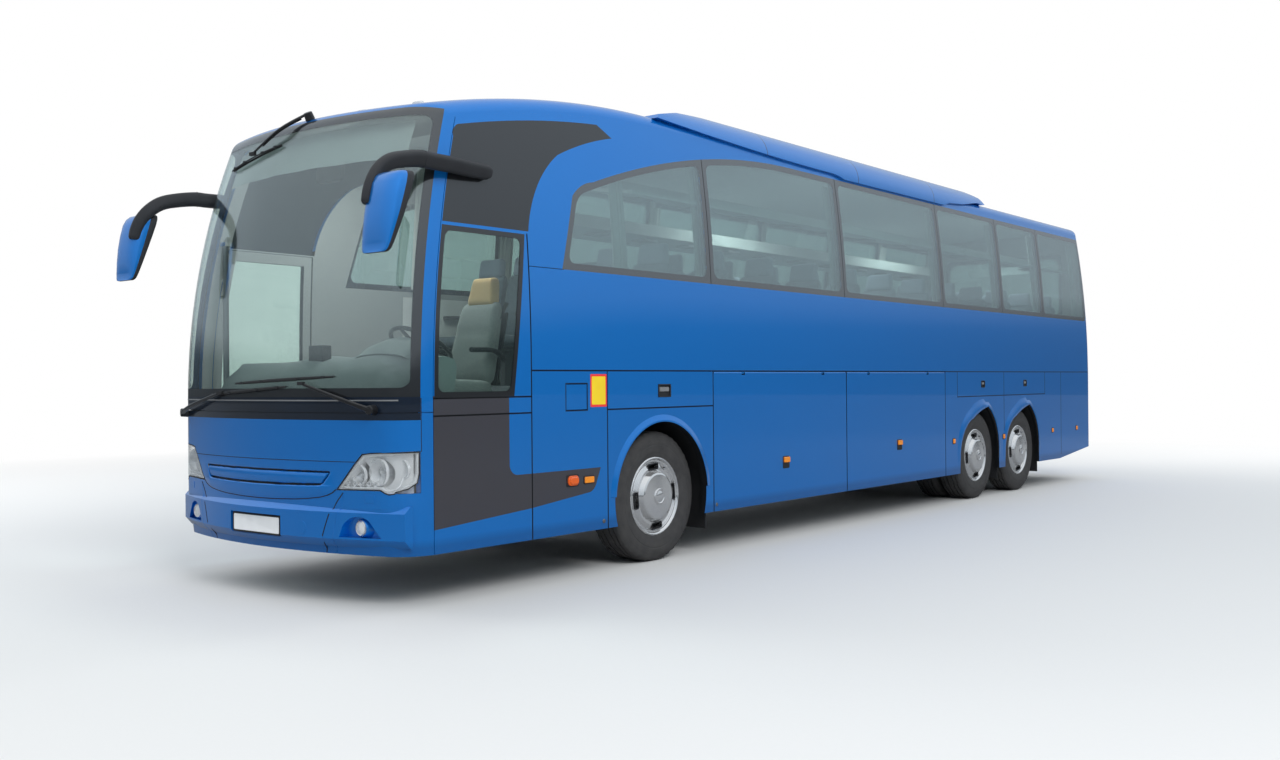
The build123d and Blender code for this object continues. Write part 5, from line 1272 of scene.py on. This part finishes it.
def rear_arch_lips(label, side):
    """Raised lip and seal round each rear arch."""
    for number, axle in enumerate((DRIVE_AXLE, TAG_AXLE)):
        lip, seal = Shape(), Shape()
        edge = arch_edge(axle)
        total = len(edge)
        rings, seal_rings = [], []
        for n, (y, z) in enumerate(edge):
            before, after = Vector(edge[max(n - 1, 0)]), Vector(edge[min(n + 1, total - 1)])
            along = (after - before).normalized()
            outward = Vector((-along.y, along.x))
            if outward.dot(Vector((y - axle, z - 0.5))) < 0:
                outward = -outward
            t = n / (total - 1)
            rise = min(1, t / 0.25) * min(1, (1 - t) / 0.2)
            rise = max(rise, 0.05)
            width = 0.030 + 0.075 * min(1, max(0, 0.62 - abs(t - 0.45)) / 0.62) * (1.5 if t < 0.62 else 0.6)
            proud = 0.016 * rise

            def spot(out, x):
                return Vector((side * x, y + outward.x * out, z + outward.y * out))
            rings.append([spot(0.002, 1.268), spot(0.000, HALF_WIDTH + proud * 0.8),
                          spot(0.006, HALF_WIDTH + proud), spot(width * 0.35, HALF_WIDTH + proud * 0.85),
                          spot(width * 0.7, HALF_WIDTH + proud * 0.35), spot(width, HALF_WIDTH + 0.0002),
                          spot(width, 1.270)])
            seal_rings.append([spot(-0.010, 1.262), spot(-0.012, 1.268), spot(-0.004, 1.274 + proud * 0.6),
                               spot(0.002, 1.272)])
        lip.rings(rings)
        lip.piece(f"arch_lip_{label}_{number}", PAINT, angle=40)
        seal.rings(seal_rings)
        seal.piece(f"arch_seal_{label}_{number}", RUBBER, angle=40)


for side_label, side_sign in SIDES:
    side_marks(side_label, side_sign)
    rear_arch_lips(side_label, side_sign)

# Blank red-edged sign on the driver's side
sign = Shape()
for mark, (width, height, level) in enumerate(((0.185, 0.242, 0.0008), (0.155, 0.208, 0.0013))):
    sign.plate(shifted(rounded(width, height, 0.006, 2), back(2.05), 1.364), WALLS.side(1), -0.0005, level,
               mark=mark)
sign.piece("blank_sign", (SIGN_RED, YELLOW))

# Rubber in the joints between the side panes
for side_label, side_sign in SIDES:
    joints = Shape()
    for joint in WINDOW_JOINTS:
        rows = []
        for n in range(13):
            z = SILL_Z + 0.004 + (WINDOW_TOP_Z - SILL_Z - 0.008) * n / 12
            x = side_x(z)
            rows.append([Vector((side_sign * (x + dx), joint + dy, z)) for dx, dy in
                         ((-0.007, -0.0038), (-0.0012, -0.0036), (-0.0012, 0.0036), (-0.007, 0.0038))])
        joints.rings(rows)
    joints.piece("pane_joints_" + side_label, RUBBER)

# ---------- seats and cab


def cushion(shape, width, low, high, thick, bow, mark=0, taper=0.0, channels=4, mid_x=0.0):
    """A crowned pad between two lines of its side view, with sewn channels across."""
    (y0, z0), (y1, z1) = low, high
    along = Vector((0, y1 - y0, z1 - z0))
    length = along.length
    along.normalize()
    out = Vector((0, -along.z, along.y))
    rows = []
    steps = 18
    for n in range(steps + 1):
        t = n / steps
        end = math.sqrt(max(0.0, 1 - abs(2 * t - 1) ** 6))
        half = width / 2 * (1 - taper * t) * (0.90 + 0.10 * end)
        groove = 0.006 * (1 if channels and abs((t * channels) % 1.0) < 0.10 and 0.08 < t < 0.95 else 0)
        ring = []
        for i in range(20):
            a = 2 * math.pi * i / 20
            u = math.copysign(abs(math.cos(a)) ** 0.45, math.cos(a))
            v = math.copysign(abs(math.sin(a)) ** 0.45, math.sin(a))
            crown = bow * (1 - 0.55 * u * u) * (0.55 + 0.45 * end)
            wing = 0.030 * abs(u) ** 4 if v > 0 else 0
            level = (thick / 2 + crown * 0.5 + wing - groove) * v if v > 0 else thick / 2 * v
            ring.append(Vector((mid_x + half * u, y0, z0)) + along * (length * t)
                        + out * level * (0.35 + 0.65 * end))
        rows.append(ring)
    shape.rings(rows, mark)


def seat_shapes():
    """One passenger double seat, made once and shared by every row."""
    cloth, frame_parts, cover = Shape(), Shape(), Shape()
    for x in (-0.225, 0.225):
        cushion(cloth, 0.430, (0.02, 0.385), (0.455, 0.365), 0.100, 0.028, channels=3, mid_x=x)
        cushion(cloth, 0.430, (0.455, 0.400), (0.585, 1.000), 0.075, 0.026, taper=0.08, channels=5, mid_x=x)
        cushion(cover, 0.300, (0.583, 0.985), (0.610, 1.165), 0.075, 0.020, taper=0.12, channels=0, mid_x=x)
        frame_parts.block((x - 0.190, 0.505, 0.35), (x + 0.190, 0.525, 0.90), lean=0.10)
    for x in (-0.455, 0.0, 0.455):
        line = flowing([(x, 0.50, 0.47), (x, 0.47, 0.60), (x, 0.40, 0.625), (x, 0.20, 0.62)], 4)
        frame_parts.sweep(line, [(-0.022, -0.014), (0.022, -0.014), (0.022, 0.010), (0.014, 0.018),
                                 (-0.014, 0.018), (-0.022, 0.010)], up=(0, 0.3, 1))
    frame_parts.block((-0.16, 0.15, 0.0), (-0.10, 0.40, 0.34))
    frame_parts.block((0.30, 0.15, 0.0), (0.36, 0.40, 0.34))
    frame_parts.block((-0.42, 0.12, 0.30), (0.42, 0.44, 0.335))
    return cloth, cover, frame_parts


SEAT_SHAPES = seat_shapes()


def make_seats():
    """Rows of double seats on both sides of the aisle, with a gap at the middle door."""
    first = {}
    for row in range(12):
        y = back(2.560) + row * 0.8
        for label, side in SIDES:
            if side == -1 and MID_DOOR_FRONT - 0.7 < y < WINDOW_JOINTS[2]:
                continue
            for (kind, finish, bevel), source in zip((("pads", SEAT_CLOTH, 0.0), ("heads", HEADREST, 0.0),
                                                      ("frames", SEAT_SHELL, 0.004)), SEAT_SHAPES):
                name = f"seat_{kind}_{label}_{row + 1}"
                if kind in first:
                    thing = placed(name, first[kind].data, "coach", SLOT_OF[finish.name], bevel=bevel)
                else:
                    thing = first[kind] = source.piece(name, finish, replaces=("passenger_seats",),
                                                       bevel=bevel, angle=50)
                thing.location = (side * 0.72, y, DECK_Z)
                kind != "frames"


def make_driver_seat():
    """Pads, headrest, armrests, plinth and belt."""
    pads, cover, frame_parts = Shape(), Shape(), Shape()
    y, z, x = back(0.880), PLATFORM_Z + 0.06, 0.66
    cushion(pads, 0.470, (y + 0.02, z + 0.400), (y + 0.470, z + 0.385), 0.110, 0.030, channels=3, mid_x=x)
    cushion(pads, 0.450, (y + 0.455, z + 0.430), (y + 0.600, z + 1.020), 0.095, 0.030, taper=0.22,
            channels=5, mid_x=x)
    cushion(cover, 0.270, (y + 0.598, z + 0.990), (y + 0.640, z + 1.205), 0.085, 0.020, taper=0.25,
            channels=0, mid_x=x)
    for u in (-0.265, 0.265):
        line = flowing([(x + u, y + 0.54, z + 0.60), (x + u, y + 0.44, z + 0.665),
                        (x + u, y + 0.22, z + 0.670)], 5)
        frame_parts.sweep(line, ring_of(0.026, 12, 0.7), up=(0, 0.3, 1))
    frame_parts.block((x - 0.20, y + 0.05, z + 0.10), (x + 0.20, y + 0.42, z + 0.33))
    frame_parts.block((x - 0.16, y + 0.10, PLATFORM_Z), (x + 0.16, y + 0.38, z + 0.12))
    frame_parts.block((x - 0.17, y + 0.545, z + 0.42), (x + 0.17, y + 0.565, z + 0.95), lean=0.12)
    line = flowing([(x + 0.20, y + 0.640, z + 1.02), (x + 0.12, y + 0.54, z + 0.80),
                    (x - 0.05, y + 0.44, z + 0.60), (x - 0.20, y + 0.42, z + 0.42)], 5)
    frame_parts.sweep(line, [(-0.023, -0.001), (0.023, -0.001), (0.023, 0.001), (-0.023, 0.001)],
                      up=(0, -1, 0.3), mark=1)
    pads.piece("driver_seat_pads", CREW_CLOTH, replaces=("crew_seats",), angle=50)
    cover.piece("driver_headrest", HEAD_CLOTH, angle=50)
    frame_parts.piece("driver_seat_frame", (BLACK, RUBBER), bevel=0.006)


def make_cab():
    """Dashboard with its binnacle, screens and vents, steering wheel, and the inner mirror."""
    desk = Shape()
    profile = [(0.300, 0.96), (0.262, 1.30), (0.270, 1.38), (0.330, 1.475), (0.430, 1.548), (0.560, 1.588),
               (0.680, 1.592), (0.742, 1.572), (0.762, 1.520), (0.740, 1.38), (0.690, 1.10), (0.670, 0.96)]
    rings = []
    for n in range(33):
        x = -1.09 + 2.18 * n / 32
        bow = nose_drop(x)
        hump = 0.060 * math.exp(-((x - 0.66) / 0.34) ** 2) + 0.035 * math.exp(-((x + 0.05) / 0.22) ** 2)
        rings.append([Vector((x, back(min(d + bow * (0.9 if d < 0.5 else 0.3), 0.86)),
                              z + (hump if z > 1.5 else 0))) for d, z in profile])
    desk.rings(rings)
    desk.piece("dash_top", DASH_GREY, replaces=("dashboard",), angle=60)
    hood = Shape()
    rings = []
    for n in range(17):
        x = 0.40 + 0.52 * n / 16
        arch = math.sin(math.pi * n / 16) ** 0.5
        rings.append([Vector((x, back(d), z + 0.075 * arch * w))
                      for d, z, w in ((0.50, 1.60, 0.4), (0.58, 1.64, 0.9), (0.68, 1.662, 1.1),
                                      (0.800, 1.640, 1.1), (0.805, 1.625, 1.0), (0.70, 1.61, 0.5),
                                      (0.56, 1.58, 0.0))])
    hood.rings(rings)
    hood.piece("instrument_hood", DASH_GREY, angle=55)
    dials = Shape()
    for x, r in ((0.50, 0.035), (0.60, 0.052), (0.72, 0.052), (0.82, 0.035)):
        dials.lathe([(0.0, r), (0.008, r), (0.010, r - 0.004), (0.004, r - 0.006), (0.003, 0.0)],
                    (x, back(0.778), 1.640), "Y", 1, 28)
    dials.piece("instrument_dials", SATIN_BLACK)
    extras = Shape()
    for x0, x1, z0, z1 in ((0.10, 0.34, 1.42, 1.54), (-0.30, -0.06, 1.40, 1.52), (0.96, 1.06, 1.42, 1.54)):
        extras.block((x0, back(0.748), z0), (x1, back(0.782), z1))
    extras.block((-0.06, back(0.46), 1.585), (0.10, back(0.54), 1.700))
    for n in range(8):
        extras.block((-0.95 + n * 0.055, back(0.742), 1.30), (-0.915 + n * 0.055, back(0.764), 1.36))
    extras.piece("dash_panels", SATIN_BLACK, bevel=0.006)
    wheel = Shape()
    centre, normal = Vector((0.66, back(0.870), 1.685)), Vector((0, 0.55, 0.84)).normalized()
    across = Vector((1, 0, 0))
    above = normal.cross(across)
    loop = [centre + across * (0.225 * math.cos(a)) + above * (0.225 * math.sin(a))
            for a in (2 * math.pi * n / 48 for n in range(48))]
    wheel.sweep(loop, ring_of(0.0155, 10), up=normal, closed=True)
    for a in (math.radians(8), math.radians(172), math.radians(270)):
        tip = centre + across * (0.222 * math.cos(a)) + above * (0.222 * math.sin(a))
        wheel.sweep([centre - normal * 0.020, centre.lerp(tip, 0.5) - normal * 0.014, tip],
                    lambda t: [(u * (1.5 - 0.8 * t), v) for u, v in ring_of(0.022, 10, 0.4)], up=normal)
    hub = [[centre + (across * u + above * v) * s + normal * h for u, v in rounded(0.150, 0.120, 0.045)]
           for s, h in ((0.8, -0.05), (1.0, -0.03), (1.0, 0.0), (0.85, 0.012), (0.4, 0.016))]
    wheel.rings(hub)
    wheel.piece("steering_wheel", SATIN_BLACK)
    column = Shape()
    column.sweep([centre - normal * 0.04, centre - normal * 0.16, centre - normal * 0.30],
                 lambda t: ring_of(0.045 + 0.035 * t, 18, 1.2), up=(1, 0, 0))
    for s in (-1, 1):
        column.sweep([centre - normal * 0.07, centre - normal * 0.065 + across * s * 0.10,
                      centre - normal * 0.05 + across * s * 0.19], ring_of(0.008, 8), up=normal)
    column.piece("steering_column", BLACK)
    inner = Shape()
    place = Vector((0.0, back(0.62), 2.93))
    inner.rings([[place + Vector((u * s, d, v * s)) for u, v in rounded(0.30, 0.13, 0.04)] for s, d in
                 ((0.7, -0.028), (0.95, -0.02), (1.0, 0.0), (0.97, 0.008), (0.94, 0.004))])
    inner.sweep(flowing([place + Vector((0, -0.01, 0.03)), place + Vector((0, -0.05, 0.12)),
                         place + Vector((0, 0.02, 0.25))], 5), ring_of(0.010, 10), up=(1, 0, 0))
    inner.piece("inner_mirror", BLACK)
    roller = Shape()
    rows = []
    for n in range(25):
        x = -1.06 + 2.12 * n / 24
        rows.append([on_nose(x * 0.98, z, -0.085 - 0.004 * math.sin(n * 1.2))
                     for z in (3.19, 3.12, 3.04, 2.97, 2.93)])
    roller.rings(rows, loop=False)
    thickened(roller.piece("sun_blind", BLIND), 0.002)


def make_linings():
    """Pale panels inside the roof and below the side windows, curtains and racks' lamps."""
    for label, side in SIDES:
        panel = Shape()
        rows = []
        for n in range(41):
            y = back(2.30) + (6.38 - back(2.30)) * n / 40
            rows.append([Vector((side * (side_x(z) - 0.056), y, z)) for z in (1.43, 1.80, 2.19)])
        panel.rings(rows, loop=False)
        thickened(panel.piece("inner_panel_" + label, LINING, angle=60), 0.004)
        for number, joint in enumerate((back(2.45), *WINDOW_JOINTS, 6.25)):
            if side == -1 and joint == WINDOW_JOINTS[2]:
                continue
            curtain = Shape()
            rows = []
            for n in range(29):
                y = joint - 0.085 + 0.17 * n / 28
                fold = 0.016 * math.sin(n * math.pi / 2.3) + 0.006 * math.sin(n * 1.9 + number)
                rows.append([Vector((side * (side_x(z) - 0.085 - abs(fold) * (1 - 0.3 * k) - 0.01 * k),
                                     y + 0.01 * k * math.sin(n), z))
                             for k, z in ((0, 3.34), (0.4, 3.0), (1, 2.70), (0.5, 2.45), (0.2, 2.26))])
            curtain.rings(rows, loop=False)
            thing = thickened(curtain.piece(f"curtain_{label}_{number}", CURTAIN, angle=70), 0.003)
        rack = Shape()
        for n in range(12):
            y = back(2.9) + n * 0.78
            rack.block((min(side * 0.80, side * 0.98), y, 2.912),
                       (max(side * 0.80, side * 0.98), y + 0.22, 2.934))
        rack.piece("reading_lamps_" + label, GREY_TRIM, bevel=0.004)
    ceiling = Shape()
    rows = []
    for n in range(31):
        y = back(1.60) + (6.30 - back(1.60)) * n / 30
        sag = -0.16 * ((back(2.915) - y) ** 2) / 2 if y < back(2.915) else 0
        rows.append([Vector((x, y, min(3.505, 3.545 - 0.05 * (x / 1.05) ** 4) + sag))
                     for x in (-1.02, -0.9, -0.7, -0.4, 0, 0.4, 0.7, 0.9, 1.02)])
    ceiling.rings(rows, loop=False)
    ceiling.piece("ceiling_lining", LINING, angle=60)


make_seats()
make_driver_seat()
make_cab()
make_linings()

# ---------- back of the coach and the roof


def make_tail_lamps(label, side):
    """Dark panel with four round lamps, and a red marker high above it."""
    def cast(x, z):
        return TAIL_FACE.back(side * x, z)
    base = Shape()
    base.plate(shifted(rounded(0.168, 0.628, 0.020), 1.095, 1.245), cast, -0.045, -0.031, shrink=0.002)
    edge = [cast(1.095 + u, 1.245 + v)[0] + Vector((0, -0.003, 0)) for u, v in rounded(0.166, 0.626, 0.020)]
    base.sweep(edge, [(-0.003, -0.028), (0.003, -0.028), (0.003, 0.0), (-0.003, 0.0)], up=(0, 1, 0),
               closed=True)
    base.piece("tail_panel_" + label, SATIN_BLACK, replaces=("tail_lamps",))
    for number, (z, radius, finish) in enumerate(((1.475, 0.062, RED), (1.325, 0.062, AMBER),
                                                  (1.175, 0.062, RED), (1.030, 0.050, CLEAR_LENS))):
        place = cast(1.095, z)[0] - Vector((0, 0.0325, 0))
        lathed(f"tail_bezel_{label}_{number}", CHROME,
               [(0.004, radius + 0.008), (0.016, radius + 0.007), (0.020, radius + 0.003), (0.018, radius)],
               place, "Y", 1, 40)
        lathed(f"tail_lens_{label}_{number}", finish,
               [(0.012, radius), (0.019, radius * 0.97), (0.026, radius * 0.75), (0.030, radius * 0.4),
                (0.031, 0.0)], place, "Y", 1, 40, slot="red_lamp")
    marker = Shape()
    marker.plate(shifted(rounded(0.100, 0.040, 0.012), 0.98, 3.40), cast, -0.003, 0.012, shrink=0.004)
    marker.piece(f"tail_marker_{label}_0", RED)


for side_label, side_sign in SIDES:
    make_tail_lamps(side_label, side_sign)

# Sloping blades inside the engine lid's slots
louvres = Shape()
for n in range(7):
    z = 1.290 + n * 0.046
    rows = []
    for i in range(25):
        x = -0.615 + 1.23 * i / 24
        place = TAIL_FACE.back(x, z + 0.018)[0]
        rows.append([Vector((x, place.y + dy, z + dz))
                     for dy, dz in ((-0.0015, -0.0095), (-0.0035, -0.0096), (-0.0205, 0.0060),
                                    (-0.0205, 0.0085), (-0.0180, 0.0080))])
    louvres.rings(rows)
louvres.piece("engine_louvres", SATIN_BLACK, body="engine_lid")

beads = Shape()
for x, d in ((0.80, 0.62), (-0.80, 0.62), (0.25, 0.58), (-0.25, 0.58)):
    ring_rows = []
    for share, lift in ((1.0, -0.004), (1.0, 0.008), (0.9, 0.014), (0.6, 0.017)):
        ring_rows.append([ROOF_FACE.top(x + u * share, back(d + 0.12) + v * share)[0]
                          + Vector((0, 0, lift)) for u, v in rounded(0.095, 0.040, 0.018)])
    beads.rings(ring_rows)
beads.piece("roof_marker_lamps", CLEAR_LENS)

for number, d in enumerate((4.0, 7.2)):
    skinned(f"roof_vent_{number}", GREY_TRIM,
            [[ROOF_FACE.top(u * share, back(d) + v * share)[0] + Vector((0, 0, lift - 0.03))
              for u, v in rounded(0.70, 0.60, 0.08)]
             for share, lift in ((1.0, -0.006), (1.0, 0.010), (0.97, 0.020), (0.80, 0.024), (0.4, 0.026))],
            angle=50)

# Door handles on the door side
for name, y, z in (("front_door", back(1.20), 1.29), ("mid_door", 0.84, 1.29)):
    grip = Shape()
    grip.plate(shifted(rounded(0.10, 0.07, 0.015), y, z), WALLS.side(-1), -0.002, 0.003, shrink=0.001)
    grip.plate(shifted(rounded(0.074, 0.026, 0.010), y, z + 0.008), WALLS.side(-1), 0.002, 0.009, mark=1,
               shrink=0.003)
    grip.piece(name + "_handle", (BLACK, CHROME), body=name)


# ---------- camera, light, floor


def place_camera():
    """The photograph's view, from ahead and to the driver's side at eye level."""
    yaw, pitch, roll = 0.674, 0.001, -0.008
    ahead = Vector((-math.sin(yaw) * math.cos(pitch), math.cos(yaw) * math.cos(pitch), math.sin(pitch)))
    level = Vector((math.cos(yaw), math.sin(yaw), 0))
    up = level.cross(ahead)
    right = level * math.cos(roll) + up * math.sin(roll)
    top = up * math.cos(roll) - level * math.sin(roll)
    camera = bpy.data.objects.new("camera", bpy.data.cameras.new("camera"))
    scene.collection.objects.link(camera)
    camera.matrix_world = Matrix((right, top, -ahead)).transposed().to_4x4()
    camera.location = (7.113918, -11.182332, 1.430073)
    camera.data.sensor_width = 36
    camera.data.lens = 34.063
    camera.data.clip_end = 400
    scene.camera = camera


def place_lights():
    """Soft surroundings, three large lamps outside and three small ones inside."""
    world = Finish("studio", bpy.data.worlds, "ShaderNodeOutputWorld")
    way = world.add("ShaderNodeTexCoord", {}, {}, "Generated")
    height = world.add("ShaderNodeSeparateXYZ", {}, {0: way}, 2) * 0.5 + 0.5
    sky = world.add("ShaderNodeValToRGB", {"stops": (
        # height of the ray from straight down to straight up, colour
        (0.0, (0.16, 0.165, 0.17)), (0.47, (0.17, 0.175, 0.18)), (0.497, (0.06, 0.07, 0.08)),
        (0.530, (0.09, 0.11, 0.13)), (0.555, (0.46, 0.51, 0.56)), (0.64, (0.56, 0.63, 0.70)),
        (0.80, (0.76, 0.83, 0.90)), (1.0, (0.93, 0.96, 0.99)),
    )}, {0: height})
    soft = world.add("ShaderNodeBackground", {}, {"Color": sky, "Strength": 0.85})
    white = world.add("ShaderNodeBackground", {}, {"Color": (1.0, 1.0, 1.0), "Strength": 1.0})
    seen = world.add("ShaderNodeLightPath", {}, {}, "Is Camera Ray")
    scene.world = world.done(world.add("ShaderNodeMixShader", {}, {0: seen, 1: soft, 2: white}))
    for name, place, size, power, target in (
        ("key", (14, -10, 12), 8, 1700, (0, -1, 1.5)),
        ("fill", (-13, -8, 8), 9, 900, (0, -1, 1.5)),
        ("tail", (3, 17, 9), 8, 900, (0, 2, 1.5)),
        ("saloon", (0, 0.2, 3.44), 1.2, 55, (0, 0.2, 0)),
        ("saloon_rear", (0, 4.2, 3.44), 1.2, 55, (0, 4.2, 0)),
        ("cab", (0, -5.0, 3.30), 0.9, 40, (0, -5.4, 0)),
    ):
        lamp = bpy.data.lights.new(name, "AREA")
        lamp.size, lamp.energy = size, power
        thing = bpy.data.objects.new(name, lamp)
        scene.collection.objects.link(thing)
        thing.location = place
        thing.visible_glossy = thing.visible_camera = False
        thing.rotation_euler = (Vector(target) - Vector(place)).to_track_quat("-Z", "Y").to_euler()


def place_floor():
    """A pale floor that fades to white with distance."""
    f = Finish("studio_floor")
    where, (x, y, z) = f.place()
    far = ((x * x + y * y) ** 0.5).ramp(7.5, 17.0)
    tone = f.mix(f.noise(where, 40, 3) * 0.3, (0.70, 0.70, 0.69), (0.76, 0.76, 0.75))
    mirrored_ray = f.add("ShaderNodeLightPath", {}, {}, "Is Glossy Ray")
    tone = f.mix(mirrored_ray, tone, (0.17, 0.175, 0.18))
    matt = f.principled(Base_Color=tone, Roughness=0.75)
    glow = f.add("ShaderNodeEmission", {}, {"Color": (1.0, 1.0, 1.0), "Strength": 1.0})
    seen = f.add("ShaderNodeLightPath", {}, {}, "Is Camera Ray")
    material = f.done(f.add("ShaderNodeMixShader", {}, {0: far * seen, 1: matt, 2: glow}))
    data = bpy.data.meshes.new("floor")
    reach = 90
    data.from_pydata([(-reach, -reach, 0), (reach, -reach, 0), (reach, reach, 0), (-reach, reach, 0)], [],
                     [(0, 1, 2, 3)])
    data.materials.append(material)
    floor = bpy.data.objects.new("floor", data)
    scene.collection.objects.link(floor)


place_camera()
place_lights()
place_floor()
